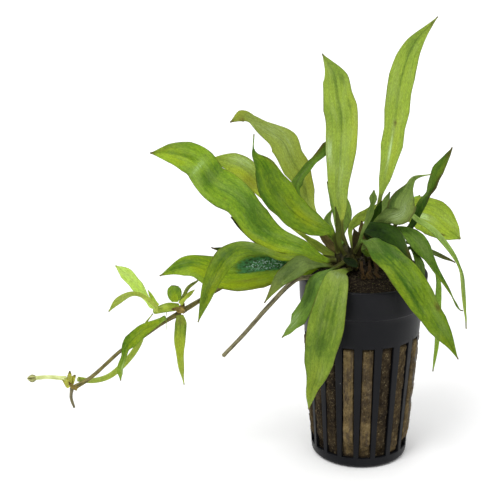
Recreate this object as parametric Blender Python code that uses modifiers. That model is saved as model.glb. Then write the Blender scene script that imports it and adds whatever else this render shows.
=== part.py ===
"""Potted echinodorus: a rosette sword plant in a slotted net pot, with one runner and its plantlets.

The origin is the centre of the pot's flat underside, +Z is up and the front of the plant is -Y.
Lengths are written in millimetres and turned to metres by MM.
"""

import math

import bmesh
import bpy
from mathutils import Matrix, Vector

MM = 0.001
GAP = 0.3  # clearance between pieces that touch

# Net pot
POT_HEIGHT = 78.5
FOOT_RADIUS = 19.6
BODY_FLARE = 0.072  # growth of the body's radius for each millimetre of height
WALL = 1.2
FLOOR_THICK = 1.6
FOOT_ROUNDING = 1.8
LIP_HEIGHT = 11.3
LIP_RADIUS = 26.0
LIP_TAPER = 0.5
LIP_ROUNDING = 0.5
LIP_INNER_EASE = 0.4  # how much the lip thins at its inner top edge
LIP_STEP = 0.6  # height of the slope under the band
POT_STEPS = 54
SLOTS = 18
SLOT_WIDTH = 4.9
SLOT_BOTTOM = 4.4
SLOT_TOP = 54.0
SLOT_CUT_DEPTH = 14.0
FIRST_SLOT_TURN = -87.5  # the slot nearest the front, in degrees from +X
DRAIN_HOLES = 6
DRAIN_RADIUS = 2.0
DRAIN_RING = 11.0
DRAIN_STEPS = 8

# Mineral wool plug
WOOL_TOP = 80.0
WOOL_EDGE_TOP = 74.0
WOOL_FLAT_RADIUS = 12.5
WOOL_STEPS = 32
WOOL_FALL = 1.5  # how late the top falls away towards the wall

# The plant stands a little to the right of the pot's axis
PLANT_OFFSET = (0.8, 0.0, 0.0)

# Crowns, the short stocks that the leaves grow from, placed from the plant's own origin
CROWN_LEFT = (-8.0, -1.0)
CROWN_RIGHT = (6.0, 5.0)
CROWN_HEIGHT = 9.5
CROWN_RADIUS = 5.0
CROWN_TIP_RADIUS = 1.2
CROWN_STEPS = 14
CROWN_FOOT = 0.4  # rounding at the crown's foot
CROWN_SHOULDER = 1.2  # height at which the crown begins to narrow
SEAT_RADII = (5.75, 4.75, 3.4, 2.05)  # where each tier's petioles start, from the crown's axis
SEAT_STEP_UP = 2.7
SEAT_HEIGHT = 1.4  # of the lowest tier, above the wool

# Leaves
PETIOLE_WIDTH = 2.0
PETIOLE_THICK = 1.2
BLADE_THICK = 0.6
EDGE_THICK = 0.4
TIP_WIDTH = 0.5
TAPER_SHARE = 0.8  # share of the length over which a petiole narrows to the tip's width
CUP = 0.12  # lift of the blade's edges, as a share of its half width
CUP_POWER = 1.5  # how the cupping grows from the midrib to the edge
WIDEST = 0.5  # where along a lance-shaped blade it is widest
FULLNESS = 1.8  # how slender its ends are
SLOPE_STEP = 0.01  # share of the length over which the midrib's direction is measured

# Stems
RUNNER_DIAMETER = 1.8
ROOT_DIAMETER = 1.1
ROOT_TAPER = (1.0, 0.6)
CUT_STALK_DIAMETER = 1.9
STEM_STEP = 4.0  # length of one straight stretch of a stem

# Colours as red, green, blue and roughness
BRIGHT = (0.27, 0.47, 0.05, 0.4)
FRESH = (0.19, 0.40, 0.04, 0.4)
DEEP = (0.10, 0.25, 0.03, 0.4)
DULL = (0.18, 0.29, 0.10, 0.5)
DARK = (0.05, 0.14, 0.02, 0.4)
PALE = (0.42, 0.52, 0.14, 0.5)
BROWN = (0.12, 0.08, 0.03, 0.6)
TAN = (0.30, 0.22, 0.10, 0.8)
BLACK = (0.022, 0.022, 0.026, 0.4)

FRONT = (0.0, -1.0, 0.35)  # the way a blade's upper side faces when the viewer sees it full on


def clear_scene():
    for item in list(bpy.data.objects):
        bpy.data.objects.remove(item, do_unlink=True)


def new_collection(name):
    group = bpy.data.collections.new(name)
    bpy.context.scene.collection.children.link(group)
    return group


clear_scene()
PARTS = new_collection("potted_echinodorus")
CUTTERS = new_collection("cutters")
PLANT = bpy.data.objects.new("plant", None)
PLANT.location = Vector(PLANT_OFFSET) * MM
PARTS.objects.link(PLANT)


def finish(name, colour):
    material = bpy.data.materials.new(name + "_finish")
    material.use_nodes = True
    shader = material.node_tree.nodes["Principled BSDF"]
    shader.inputs["Base Color"].default_value = (*colour[:3], 1.0)
    shader.inputs["Roughness"].default_value = colour[3]
    shader.inputs["Metallic"].default_value = 0.0
    return material


def add_piece(name, data, colour, group=PARTS):
    piece = bpy.data.objects.new(name, data)
    group.objects.link(piece)
    if colour:
        data.materials.append(finish(name, colour))
    return piece


def turned_piece(name, profile, steps, colour):
    """A profile of (radius, height) pairs that runs down its outer side, turned about the Z axis."""
    data = bpy.data.meshes.new(name)
    verts = [(radius * MM, 0.0, height * MM) for radius, height in profile]
    edges = [(i, i + 1) for i in range(len(verts) - 1)]
    data.from_pydata(verts, edges, [])
    piece = add_piece(name, data, colour)
    screw = piece.modifiers.new("turn", "SCREW")
    screw.axis = "Z"
    screw.steps = steps
    screw.render_steps = steps
    screw.use_merge_vertices = True
    screw.merge_threshold = 0.00001
    screw.use_smooth_shade = True
    return piece


def arc(centre_radius, centre_height, size, start, end, count):
    """Points on a quarter or other arc, the angles in degrees."""
    points = []
    for i in range(count + 1):
        angle = math.radians(start + (end - start) * i / count)
        points.append((centre_radius + size * math.cos(angle), centre_height + size * math.sin(angle)))
    return points


def body_radius(height):
    return FOOT_RADIUS + BODY_FLARE * height


def inner_radius(height):
    return body_radius(height) - WALL


def pot_profile():
    lip_bottom = POT_HEIGHT - LIP_HEIGHT
    inside = [(0.0, FLOOR_THICK), (inner_radius(FLOOR_THICK), FLOOR_THICK)]
    inside.append((inner_radius(lip_bottom), lip_bottom))
    inside.append((LIP_RADIUS - WALL - LIP_INNER_EASE, POT_HEIGHT))
    lip = arc(LIP_RADIUS - LIP_ROUNDING, POT_HEIGHT - LIP_ROUNDING, LIP_ROUNDING, 90, 0, 2)
    lip.append((LIP_RADIUS - LIP_TAPER, lip_bottom))
    lip.append((body_radius(lip_bottom), lip_bottom - LIP_STEP))
    foot_centre = body_radius(FOOT_ROUNDING) - FOOT_ROUNDING
    foot = arc(foot_centre, FOOT_ROUNDING, FOOT_ROUNDING, 0, -90, 3)
    return inside + lip + foot + [(0.0, 0.0)]


def slot_cutter():
    mesh = bpy.data.meshes.new("slot_cutter")
    work = bmesh.new()
    middle = Vector((body_radius(30.0), 0.0, (SLOT_BOTTOM + SLOT_TOP) / 2))
    size = Vector((SLOT_CUT_DEPTH, SLOT_WIDTH, SLOT_TOP - SLOT_BOTTOM))
    for i in range(SLOTS):
        made = bmesh.ops.create_cube(work, size=1.0)["verts"]
        bmesh.ops.scale(work, vec=size * MM, verts=made)
        bmesh.ops.translate(work, vec=middle * MM, verts=made)
        turn = Matrix.Rotation(math.radians(FIRST_SLOT_TURN + 360.0 * i / SLOTS), 3, "Z")
        bmesh.ops.rotate(work, cent=(0.0, 0.0, 0.0), matrix=turn, verts=made)
    for i in range(DRAIN_HOLES):
        turn = 2.0 * math.pi * i / DRAIN_HOLES
        hole = bmesh.ops.create_cone(work, cap_ends=True, segments=DRAIN_STEPS, radius1=DRAIN_RADIUS * MM,
                                     radius2=DRAIN_RADIUS * MM, depth=2.0 * FLOOR_THICK * MM)["verts"]
        place = Vector((DRAIN_RING * math.cos(turn), DRAIN_RING * math.sin(turn), FLOOR_THICK / 2))
        bmesh.ops.translate(work, vec=place * MM, verts=hole)
    work.to_mesh(mesh)
    work.free()
    cutter = add_piece("slot_cutter", mesh, None, CUTTERS)
    cutter.display_type = "WIRE"
    cutter.hide_render = True
    return cutter


def make_pot():
    pot = turned_piece("net_pot", pot_profile(), POT_STEPS, BLACK)
    cut = pot.modifiers.new("slots", "BOOLEAN")
    cut.operation = "DIFFERENCE"
    cut.solver = "EXACT"
    cut.object = slot_cutter()


def wool_height(radius):
    """Height of the wool's top: flat under the crowns, then falling to the pot's wall."""
    if radius <= WOOL_FLAT_RADIUS:
        return WOOL_TOP
    reach = inner_radius(WOOL_EDGE_TOP) - GAP
    share = (radius - WOOL_FLAT_RADIUS) / (reach - WOOL_FLAT_RADIUS)
    return WOOL_TOP - (WOOL_TOP - WOOL_EDGE_TOP) * share ** WOOL_FALL


def make_wool():
    bottom = FLOOR_THICK + GAP
    reach = inner_radius(WOOL_EDGE_TOP) - GAP
    profile = [(0.0, WOOL_TOP), (WOOL_FLAT_RADIUS, WOOL_TOP)]
    for share in (0.35, 0.7, 1.0):
        radius = WOOL_FLAT_RADIUS + (reach - WOOL_FLAT_RADIUS) * share
        profile.append((radius, wool_height(radius)))
    profile += [(inner_radius(bottom) - GAP, bottom), (0.0, bottom)]
    turned_piece("rock_wool", profile, WOOL_STEPS, TAN)


def make_crown(name, place):
    base = WOOL_TOP + GAP
    profile = [(0.0, base + CROWN_HEIGHT), (CROWN_TIP_RADIUS, base + CROWN_HEIGHT - CROWN_FOOT)]
    profile += [(CROWN_RADIUS, base + CROWN_SHOULDER), (CROWN_RADIUS, base + CROWN_FOOT)]
    profile += [(CROWN_RADIUS - CROWN_FOOT, base), (0.0, base)]
    crown = turned_piece(name, profile, CROWN_STEPS, BROWN)
    crown.parent = PLANT
    crown.location = (place[0] * MM, place[1] * MM, 0.0)


def seat(crown, turn, tier):
    """Where a petiole starts: on a ring round the crown, higher and tighter for each tier."""
    angle = math.radians(turn)
    radius = SEAT_RADII[tier]
    height = WOOL_TOP + GAP + SEAT_HEIGHT + SEAT_STEP_UP * tier
    return (crown[0] + radius * math.cos(angle), crown[1] + radius * math.sin(angle), height)


def smooth_curve(points, share):
    """A point on the smooth curve through the points, share 0 at its start and 1 at its end."""
    points = [Vector(p) for p in points]
    lengths = [0.0]
    for a, b in zip(points, points[1:]):
        lengths.append(lengths[-1] + (b - a).length)
    reach = share * lengths[-1]
    i = 0
    while i < len(points) - 2 and reach > lengths[i + 1]:
        i += 1
    t = (reach - lengths[i]) / (lengths[i + 1] - lengths[i])
    p1, p2 = points[i], points[i + 1]
    span = lengths[i + 1] - lengths[i]
    before = points[i - 1] if i > 0 else p1 - (p2 - p1)
    after = points[i + 2] if i + 2 < len(points) else p2 + (p2 - p1)
    slope1 = (p2 - before) / (span + (p1 - before).length) * span
    slope2 = (after - p1) / (span + (after - p2).length) * span
    return ((2 * t ** 3 - 3 * t ** 2 + 1) * p1 + (t ** 3 - 2 * t ** 2 + t) * slope1
            + (3 * t ** 2 - 2 * t ** 3) * p2 + (t ** 3 - t ** 2) * slope2)


def blend_numbers(numbers, share):
    """The number at a share of the way along a list of numbers."""
    place = min(max(share, 0.0), 0.9999) * (len(numbers) - 1)
    i = int(place)
    return numbers[i] + (numbers[i + 1] - numbers[i]) * (place - i)


def blend_vectors(vectors, share):
    """The direction at a share of the way along a list of directions."""
    place = min(max(share, 0.0), 0.9999) * (len(vectors) - 1)
    i = int(place)
    if len(vectors) == 1:
        return Vector(vectors[0])
    return Vector(vectors[i]).lerp(Vector(vectors[i + 1]), place - i)


def leaf_half_width(share, width, petiole):
    """Half the leaf's width at a share of its length.

    A width that is a single number gives a lance-shaped blade after the petiole, with a drawn-out tip.
    A row of half widths, at even steps from seat to tip, follows an outline that isn't lance-shaped.
    """
    stalk = (PETIOLE_WIDTH + (TIP_WIDTH - PETIOLE_WIDTH) * min(share / TAPER_SHARE, 1.0)) / 2
    if isinstance(width, tuple):
        return (stalk ** 4 + blend_numbers(width, share) ** 4) ** 0.25
    place = (share - petiole) / (1.0 - petiole)
    if not 0.0 < place < 1.0:
        return stalk
    rise = FULLNESS * WIDEST
    fall = FULLNESS * (1.0 - WIDEST)
    peak = WIDEST ** rise * (1.0 - WIDEST) ** fall
    blade = width / 2 * place ** rise * (1.0 - place) ** fall / peak
    return (stalk ** 4 + blade ** 4) ** 0.25


def leaf(name, colour, spine, width, face=(FRONT,), petiole=0.3, rows=10, columns=2):
    """A blade and its petiole as one piece, along a smooth midrib through the spine's points."""
    work = bmesh.new()
    bmesh.ops.create_grid(work, x_segments=columns, y_segments=rows, size=0.5)
    weights = work.verts.layers.deform.verify()
    for vert in work.verts:
        across = vert.co.x * 2.0
        share = vert.co.y + 0.5
        middle = smooth_curve(spine, share)
        ahead = smooth_curve(spine, min(share + SLOPE_STEP, 1.0))
        behind = smooth_curve(spine, max(share - SLOPE_STEP, 0.0))
        along = (ahead - behind).normalized()
        normal = blend_vectors(face, share)
        normal = (normal - normal.dot(along) * along).normalized()
        side = along.cross(normal)
        half = leaf_half_width(share, width, petiole)
        lift = CUP * abs(across) ** CUP_POWER * half
        vert.co = (middle + side * across * half + normal * lift) * MM
        stalk_share = max(0.0, 1.0 - share / max(petiole, 0.1))
        blade_thick = BLADE_THICK + (EDGE_THICK - BLADE_THICK) * abs(across)
        thick = blade_thick + (PETIOLE_THICK - blade_thick) * stalk_share
        vert[weights][0] = thick / PETIOLE_THICK
    mesh = bpy.data.meshes.new(name)
    work.to_mesh(mesh)
    work.free()
    mesh.shade_smooth()
    piece = add_piece(name, mesh, colour)
    piece.parent = PLANT
    piece.vertex_groups.new(name="thickness")
    solid = piece.modifiers.new("thickness", "SOLIDIFY")
    solid.thickness = PETIOLE_THICK * MM
    solid.offset = 0.0
    solid.vertex_group = "thickness"


def stem(name, colour, points, diameter, girth=(1.0, 1.0), count=None):
    """A round stem through the points, its diameter times each girth in turn along its length."""
    curve = bpy.data.curves.new(name, "CURVE")
    curve.dimensions = "3D"
    curve.bevel_depth = diameter / 2 * MM
    curve.bevel_resolution = 1
    curve.use_fill_caps = True
    spline = curve.splines.new("POLY")
    length = sum((Vector(b) - Vector(a)).length for a, b in zip(points, points[1:]))
    count = count or max(3, round(length / STEM_STEP))
    spline.points.add(count)
    for i, point in enumerate(spline.points):
        share = i / count
        place = smooth_curve(points, share) * MM
        point.co = (place.x, place.y, place.z, 1.0)
        point.radius = blend_numbers(girth, share)
    add_piece(name, curve, colour).parent = PLANT


def make_leaves():
    left = CROWN_LEFT
    right = CROWN_RIGHT

    # Tall leaves at the back
    leaf("leaf_tall_right", BRIGHT, [seat(right, 60, 2), (5, 8.5, 97.5), (6, 9, 107), (8.5, 11, 118),
         (10.5, 13.5, 128.5), (12, 15.5, 139.5), (13, 17, 150), (15.5, 19, 160.5), (19, 20.5, 167.5),
         (27.5, 20, 178)], (0, 0, 0.3, 0.5, 2.3, 3.2, 4.4, 4.1, 5, 4.9, 5.2, 4.7, 3.5, 1.6, 0),
         petiole=0.2, face=(FRONT, FRONT, (0.3, -1, 0.1)), rows=12, columns=4)
    leaf("leaf_tall_centre", BRIGHT, [seat(left, 75, 2), (-9.5, 4, 94), (-10, 6, 102.5), (-11, 8, 111.5),
         (-10.5, 10, 120.5), (-10, 12, 130), (-10, 14, 138.5), (-11.5, 15.5, 147), (-13, 16.5, 155),
         (-18, 16, 164)], (0, 0, 0.6, 2.5, 3.6, 4.4, 5.2, 6, 6.2, 6.3, 6.7, 5.6, 5.1, 2.3, 0),
         petiole=0.15, rows=11, columns=4)
    leaf("leaf_back_left", FRESH, [seat(left, 140, 2), (-15.5, 3.5, 93.5), (-20.5, 6, 100),
         (-23.5, 10, 106.5), (-26, 13.5, 114.5), (-30, 16, 121.5), (-33.5, 18, 128), (-41, 19, 133),
         (-48.5, 17.5, 138.5), (-54.5, 13, 137)],
         (1.4, 1.4, 1.4, 1.2, 2, 3.8, 4.1, 5.5, 5.1, 5.9, 4.1, 2.9, 1.7, 2.4, 0), petiole=0.25, rows=11,
         columns=4)
    leaf("leaf_left_upright", FRESH, [seat(left, 200, 2), (-14, -3.5, 96), (-19, -5.5, 99),
         (-24.5, -7.5, 102.5), (-30, -9, 107), (-34, -10, 112), (-38, -11, 117.5), (-41.5, -12, 126),
         (-45, -12, 131), (-45, -12, 138.5)],
         (0, 0.1, 1, 3.1, 4.7, 5.2, 6.3, 6, 7, 6.6, 5.5, 4.3, 1.7, 0, 0), petiole=0.17,
         face=((0.3, -1, 0.5),), rows=10, columns=4)
    leaf("leaf_left_large", FRESH, [seat(left, 208, 1), (-17.5, -6, 85.5), (-25.5, -10.5, 92),
         (-36.5, -14, 97), (-44.7, -16.5, 104.8), (-51.7, -18.5, 114.8), (-60.5, -20.5, 121.5),
         (-66.5, -22, 130), (-74, -23, 133.5), (-84, -23, 134)],
         (0, 1.8, 2.5, 3.4, 4.5, 5.7, 6.8, 6.4, 6.6, 7.4, 6.6, 6.4, 5.7, 3.4, 0), petiole=0.15,
         face=((0.4, -1, 0.6), (0.4, -1, 0.6), (0.1, -1, 0.5)), rows=12, columns=4)
    leaf("leaf_left_rounded", PALE, [seat(left, 160, 1), (-18.5, 2.5, 88), (-25, 2.5, 93),
         (-30.5, 3.5, 97.5), (-35.5, 5, 103), (-39.5, 6, 109), (-44, 7, 114.5), (-49.5, 6.5, 120),
         (-55.5, 5, 123), (-62.5, 2, 125)],
         (1.6, 1.6, 1.6, 0.7, 0.9, 1.1, 1.3, 2.1, 3.2, 4.2, 4.4, 4.5, 4, 2, 0), petiole=0.35,
         face=((0.2, -1, 0.3),), columns=4)
    leaf("leaf_narrow_dark", DARK, [seat(left, 145, 3), (-15, 1.5, 95), (-20.5, 3, 100.5),
         (-26, 4.5, 106.5), (-28, 7.5, 112.5), (-23.5, 9, 119.5), (-18, 12, 124.5), (-13, 14, 130)],
         (1.4, 1.4, 1.4, 0.5, 0.7, 0.9, 1, 1, 2.5, 1.7, 1.8, 1.4, 1.9, 2.3, 0), petiole=0.45,
         face=((0.5, -0.7, 0.5),))
    leaf("leaf_left_arching", FRESH, [seat(left, 213, 0), (-19.5, -11.5, 86.5), (-27, -15.5, 90),
         (-34.5, -20, 91.5), (-41.5, -22.5, 95), (-49.5, -27, 97), (-56, -31, 94.5), (-61, -32, 86),
         (-64, -31.5, 77), (-66.5, -30, 68.5)],
         (0, 0.8, 1.2, 1.4, 1.8, 1.7, 1.4, 2.7, 3.7, 4.7, 4.2, 3.6, 2.7, 1.4, 0), petiole=0.15,
         face=((-0.2, -0.7, 0.9), (-0.3, -0.8, 0.7), (-0.7, -0.8, 0.2)), rows=11, columns=4)
    leaf("leaf_left_low", FRESH, [seat(left, 189, 0), (-21, -5, 82.5), (-28.5, -8, 82.5),
         (-36, -10, 83.5), (-44, -12.5, 83.5), (-51.5, -14.5, 83), (-60, -15.5, 83.5), (-68.5, -16, 86.5),
         (-74.5, -15.5, 85.5), (-82, -15, 82)],
         (0, 0.9, 3.2, 4.7, 4.9, 6.2, 7.6, 7.7, 7.5, 6.3, 6, 4.5, 3.8, 1.7, 0), petiole=0.14,
         face=((0, -0.8, 0.6),), rows=10, columns=4)
    leaf("leaf_under_large", DARK, [seat(left, 180, 1), (-23, -1, 86), (-35, -3, 90), (-45, -6, 97),
         (-54, -8, 104)], 8, petiole=0.3, face=((0.3, -0.8, 0.5),))
    leaf("leaf_behind_arching", DARK, [seat(left, 165, 0), (-26, 1, 84), (-42, 1, 86), (-53, 0, 87),
         (-62, -1, 89)], 6, petiole=0.3, face=((0, -0.5, 0.9),))

    # Leaves that fall in front of the pot
    leaf("leaf_front_left_small", DULL, [seat(left, 237, 0), (-16.5, -11.5, 85), (-22, -17, 87.5),
         (-26, -20.5, 89), (-30, -23.5, 87), (-34.5, -26, 84.5), (-37.5, -27.5, 81), (-41, -29, 76)],
         (0, 0.4, 0.9, 1.4, 2.5, 4, 4.2, 3.6, 2.4, 1.1, 0), petiole=0.25, face=((-0.2, -0.7, 0.9),
         (-0.4, -0.8, 0.5)))
    leaf("leaf_front_left_dark", DEEP, [seat(left, 258, 1), (-13, -11, 84), (-15.5, -16.5, 84.5),
         (-20.5, -21, 82.5), (-23, -23.5, 76.5), (-26, -24.5, 70.5), (-29.5, -25, 65), (-34, -25, 60)],
         (0, 0, 0, 0.2, 1, 1.9, 2.8, 3.2, 2.9, 2.7, 3, 3.2, 1.6, 1.2, 0), petiole=0.25,
         face=((-0.2, -0.7, 0.9), (-0.4, -1, 0.3)))
    leaf("leaf_front_large", BRIGHT, [seat(left, 285, 0), (-10.5, -13.5, 83), (-12.5, -21.5, 84),
         (-14.5, -28, 80), (-16.5, -32, 73), (-18, -33.5, 65), (-19.5, -34, 57), (-20.5, -33.5, 48.5),
         (-22.5, -32.5, 40.5), (-23.5, -32, 32.5)],
         (0, 1.3, 2.6, 4, 5, 5.7, 6.4, 6.9, 6.7, 6, 5.5, 4.1, 2.6, 1.6, 0), petiole=0.12,
         face=((0, -0.6, 1), (0, -1, 0.3), (0, -1, 0.1)), rows=11, columns=4)
    leaf("leaf_right_front", FRESH, [seat(right, 235, 1), (-1.5, -5, 89), (0, -12.5, 95.5),
         (4.5, -20, 93.5), (10, -26, 89.5), (15.5, -29.5, 83), (20.5, -30.5, 75.5), (25.5, -31, 68),
         (30.5, -30.5, 60.5), (34.5, -30, 53)],
         (0, 1.7, 2.3, 3.2, 3.7, 5.8, 5.5, 6.4, 6.2, 5.9, 4.9, 4.6, 3.2, 1.4, 0), petiole=0.15,
         face=((0.2, -0.7, 0.9), (0.4, -1, 0.5), (0.4, -1, 0.3)), rows=12, columns=4)
    leaf("leaf_right_dark", DARK, [seat(right, 262, 2), (2, 0.5, 92), (-1, -1, 97), (2.5, -4, 97.5),
         (7, -7, 96.5), (11, -10.5, 94), (14, -13.5, 91), (17.5, -15, 87.5)],
         (0, 0.6, 1.3, 2, 3.4, 4.4, 5.3, 4.7, 3, 1.9, 0), petiole=0.25, face=((0.3, -0.8, 0.8),),
         columns=4)
    leaf("leaf_inner_teal", DARK, [seat(left, 320, 1), (-8, -9, 87), (-6, -12, 86), (-4, -14, 85)], 4,
         petiole=0.3, face=((0, -0.6, 0.9),), rows=6)

    # Leaves on the right
    leaf("leaf_right_tailed", DEEP, [seat(right, 325, 2), (12.5, 2, 95.5), (17.5, 0, 94),
         (23.5, -2.5, 87.5), (28, -5, 80.5), (33, -7, 73), (37.5, -7.5, 65), (39, -8, 64.5)],
         (0, 0.6, 0.8, 1.6, 3.4, 4.2, 3.9, 2.6, 1.9, 1.4, 1, 0.7, 0.2, 0.6, 0), petiole=0.15,
         face=((0.5, -0.9, 0.6),), columns=4)
    leaf("leaf_right_long", DULL, [seat(right, 15, 2), (12, 6.5, 95.5), (15, 7, 102), (21.5, 6, 98),
         (27, 4.5, 94.5), (35, 2.5, 85.5), (38.5, 1.5, 79), (40, 0.5, 70), (41, 0, 61.5), (42, 0, 53.5)],
         (0, 0, 0.3, 0.4, 1.4, 1.5, 1.8, 1.7, 1.3, 0.7, 1.4, 1.5, 1.3, 0.6, 0), petiole=0.2,
         face=((0.3, -0.6, 0.8), (0.8, -0.6, 0.3)))
    leaf("leaf_right_rounded", BRIGHT, [seat(right, 47, 0), (9.5, 12.5, 87.5), (9.5, 13.5, 95.5),
         (16, 16, 98), (22.5, 18.5, 97.5), (29, 19.5, 95), (35, 19, 90.5), (40.5, 17, 86.5)],
         (0, 0, 0, 0.1, 0.1, 1.5, 2.7, 4.5, 6.7, 7, 7.5, 6.9, 5.5, 3.5, 0), petiole=0.3, face=(FRONT,),
         columns=4)
    leaf("leaf_right_twisted", DEEP, [seat(right, 40, 1), (14.5, 9, 90), (19.5, 9.5, 95.5),
         (22.5, 10.5, 102.5), (26.5, 12, 109), (29, 12, 116.5), (32, 12, 122), (34.5, 12, 127)],
         (0, 0.3, 0.6, 0.9, 1.2, 1.4, 1.8, 1.8, 1.1, 2.2, 2.4, 3, 2.2, 1.3, 0), petiole=0.3,
         face=((0.3, -1, 0.3), (-1, -0.6, 0.2)))
    leaf("leaf_right_folded", DULL, [seat(right, 265, 3), (5.5, 1.5, 97), (8, -0.5, 101.5),
         (13, -2, 104.5), (13.5, -2, 108), (16.5, 0.5, 114), (19, 4, 116.5), (26, 6, 117.5)],
         (0, 2.1, 3.2, 2.8, 4.6, 5.8, 4.3, 1.8, 1.1, 0.4, 0), petiole=0.15, face=((0, -1, 0.3),
         (0.3, -1, 0.2)), columns=4)
    leaf("leaf_right_hanging", DEEP, [seat(right, 0, 1), (14, 6, 91), (22, 6, 88), (29, 4, 78),
         (30, 2, 64), (30, 0, 49), (29, -1, 35)], 3.5, petiole=0.3, face=((0.5, -0.8, 0.3),))
    leaf("leaf_right_short", DULL, [seat(right, 20, 0), (15, 10.2, 87), (22, 12, 85.5), (31, 13, 81),
         (38, 12, 78)], 3, petiole=0.3, face=((0.3, -0.6, 0.8),), rows=7)
    leaf("leaf_right_rim", DEEP, [seat(right, 340, 0), (15, 1.5, 85.5), (18, 0, 88.5), (20.5, -4.5, 85),
         (21.5, -10.5, 82), (22.5, -14, 79.5)], (0, 0.2, 0.4, 0.6, 0.8, 1.2, 1.7, 1.9, 1.5, 0.8, 0),
         petiole=0.3, face=((0.2, -0.8, 0.8),), rows=7)
    leaf("leaf_left_rim", DARK, [seat(left, 141, 0), (-16, 4, 82), (-21, 4, 81), (-26, 3.5, 80.5)], 5,
         petiole=0.2, face=((0, -0.5, 0.9),), rows=6)

    # Small leaves in the middle and at the back
    leaf("leaf_back_tip", DULL, [seat(right, 90, 1), (4, 13, 94), (8, 17, 100), (11, 20, 106)], 4,
         petiole=0.3, rows=6)
    leaf("leaf_back_light", BRIGHT, [seat(right, 73, 0), (8, 15.5, 92.5), (16, 20, 98), (24, 25, 103)], 5,
         petiole=0.3, rows=7)
    leaf("leaf_centre_narrow", DULL, [seat(left, 350, 2), (-3, -4.5, 92), (-2, -6.5, 97.5), (0, -7, 103),
         (1.5, -7, 109), (2, -6, 114.5)], (0, 0, 0.1, 0.3, 0.4, 0.8, 1.2, 1.5, 0.8, 1.8, 0), petiole=0.2,
         face=((-0.4, -1, 0.2),), rows=7)
    leaf("leaf_centre_dark", DARK, [seat(right, 180, 2), (0, 3, 95), (4, 4, 101), (6, 4, 107)], 4,
         petiole=0.2, rows=6)
    leaf("leaf_back_small", FRESH, [seat(left, 40, 1), (-5.5, 4, 89.5), (-6, 7, 94), (-3, 11, 96.5),
         (1, 13, 99), (5.5, 14, 102.5)], (0, 0.2, 0.4, 0.7, 1, 1.6, 2.1, 2.1, 1.6, 1.3, 0), petiole=0.2,
         face=((0.3, -0.8, 0.5),), rows=6)
    leaf("leaf_new", PALE, [seat(left, 260, 2), (-11, -6, 92), (-12, -7, 102), (-13, -7, 108)], 2.3,
         petiole=0.1, rows=6)
    leaf("leaf_back_grey", DULL, [seat(left, 108, 1), (-13, 8, 91), (-15, 12, 96), (-13, 15, 100)], 3.5,
         petiole=0.2, rows=6)
    leaf("leaf_behind_tall", DULL, [seat(left, 78, 1), (-9.5, 7, 92), (-9, 12, 99), (-11, 16, 105),
         (-15, 18, 111)], 8, petiole=0.2, rows=7)

    # Old brown sheaths round the crowns
    leaf("sheath_left", BROWN, [seat(left, 8, 1), (-3, 0, 89.5), (-3.8, 0.2, 93), (-5, 0.5, 96.5)],
         (0.9, 1.6, 2.3, 2.2, 1.5, 0), petiole=0.1, rows=5)
    leaf("sheath_back", BROWN, [seat(left, 172, 2), (-13.8, -0.8, 89.4), (-16.5, -0.4, 92.4),
         (-19.5, 0.5, 96)], (0.9, 1.3, 1.6, 1.5, 1, 0), petiole=0.1, rows=5)
    leaf("sheath_right", BROWN, [seat(right, 150, 1), (0.3, 7, 90), (-1, 6.5, 94), (-1.5, 6, 98)],
         (1.3, 2, 2.3, 2.2, 1.4, 0), petiole=0.1, rows=5)


def make_stems():
    left = CROWN_LEFT
    stem("cut_stalk", BROWN, [seat(left, 261, 0), (-14, -12.5, 81.5), (-23, -14.5, 81.3), (-29, -15, 80),
         (-39, -19, 71), (-48, -24, 62), (-57, -27, 53)], CUT_STALK_DIAMETER, count=11)
    stem("runner_inner", BROWN, [seat(left, 117, 0), (-18, 8, 82), (-32, 9, 79.5), (-47, 4, 76),
         (-59, -3, 72), (-67, -8, 68.7), (-73.5, -12, 65.9)], RUNNER_DIAMETER, count=12)
    stem("runner_outer", BROWN, [(-75, -12.5, 65), (-78.5, -12.6, 63), (-84, -13, 59.4), (-90, -13, 54.9),
         (-95, -13.2, 51.7), (-99, -13.8, 49), (-104, -15, 44.6), (-108.3, -16.7, 41),
         (-112, -18.3, 38.6), (-116.5, -20, 36.5)], RUNNER_DIAMETER)
    stem("runner_stub", BROWN, [(-117.9, -20.1, 35.4), (-118.2, -20.1, 32), (-117.1, -20, 27.5)], 1.5)
    stem("side_shoot", DEEP, [(-67, -12, 79), (-71, -10.6, 75.5), (-72.6, -10.8, 72.5),
         (-74.2, -11.2, 69.7)], 1.6)
    stem("root_front", BROWN, [(-2, -5.5, 84.5), (-2.4, -8.5, 82.5), (-1.8, -11.5, 81),
         (-2.2, -14.5, 80.4)], ROOT_DIAMETER, ROOT_TAPER, count=3)
    stem("root_middle", BROWN, [(1, -4, 84.5), (1, -7.5, 82.5), (0.6, -11, 81), (1.2, -14, 80.4)],
         ROOT_DIAMETER, ROOT_TAPER, count=3)
    stem("root_side", BROWN, [(3.5, -2.5, 84.2), (4, -6, 82.3), (3.6, -10, 81), (4.4, -13.5, 80.4)],
         ROOT_DIAMETER, ROOT_TAPER, count=3)


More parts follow.
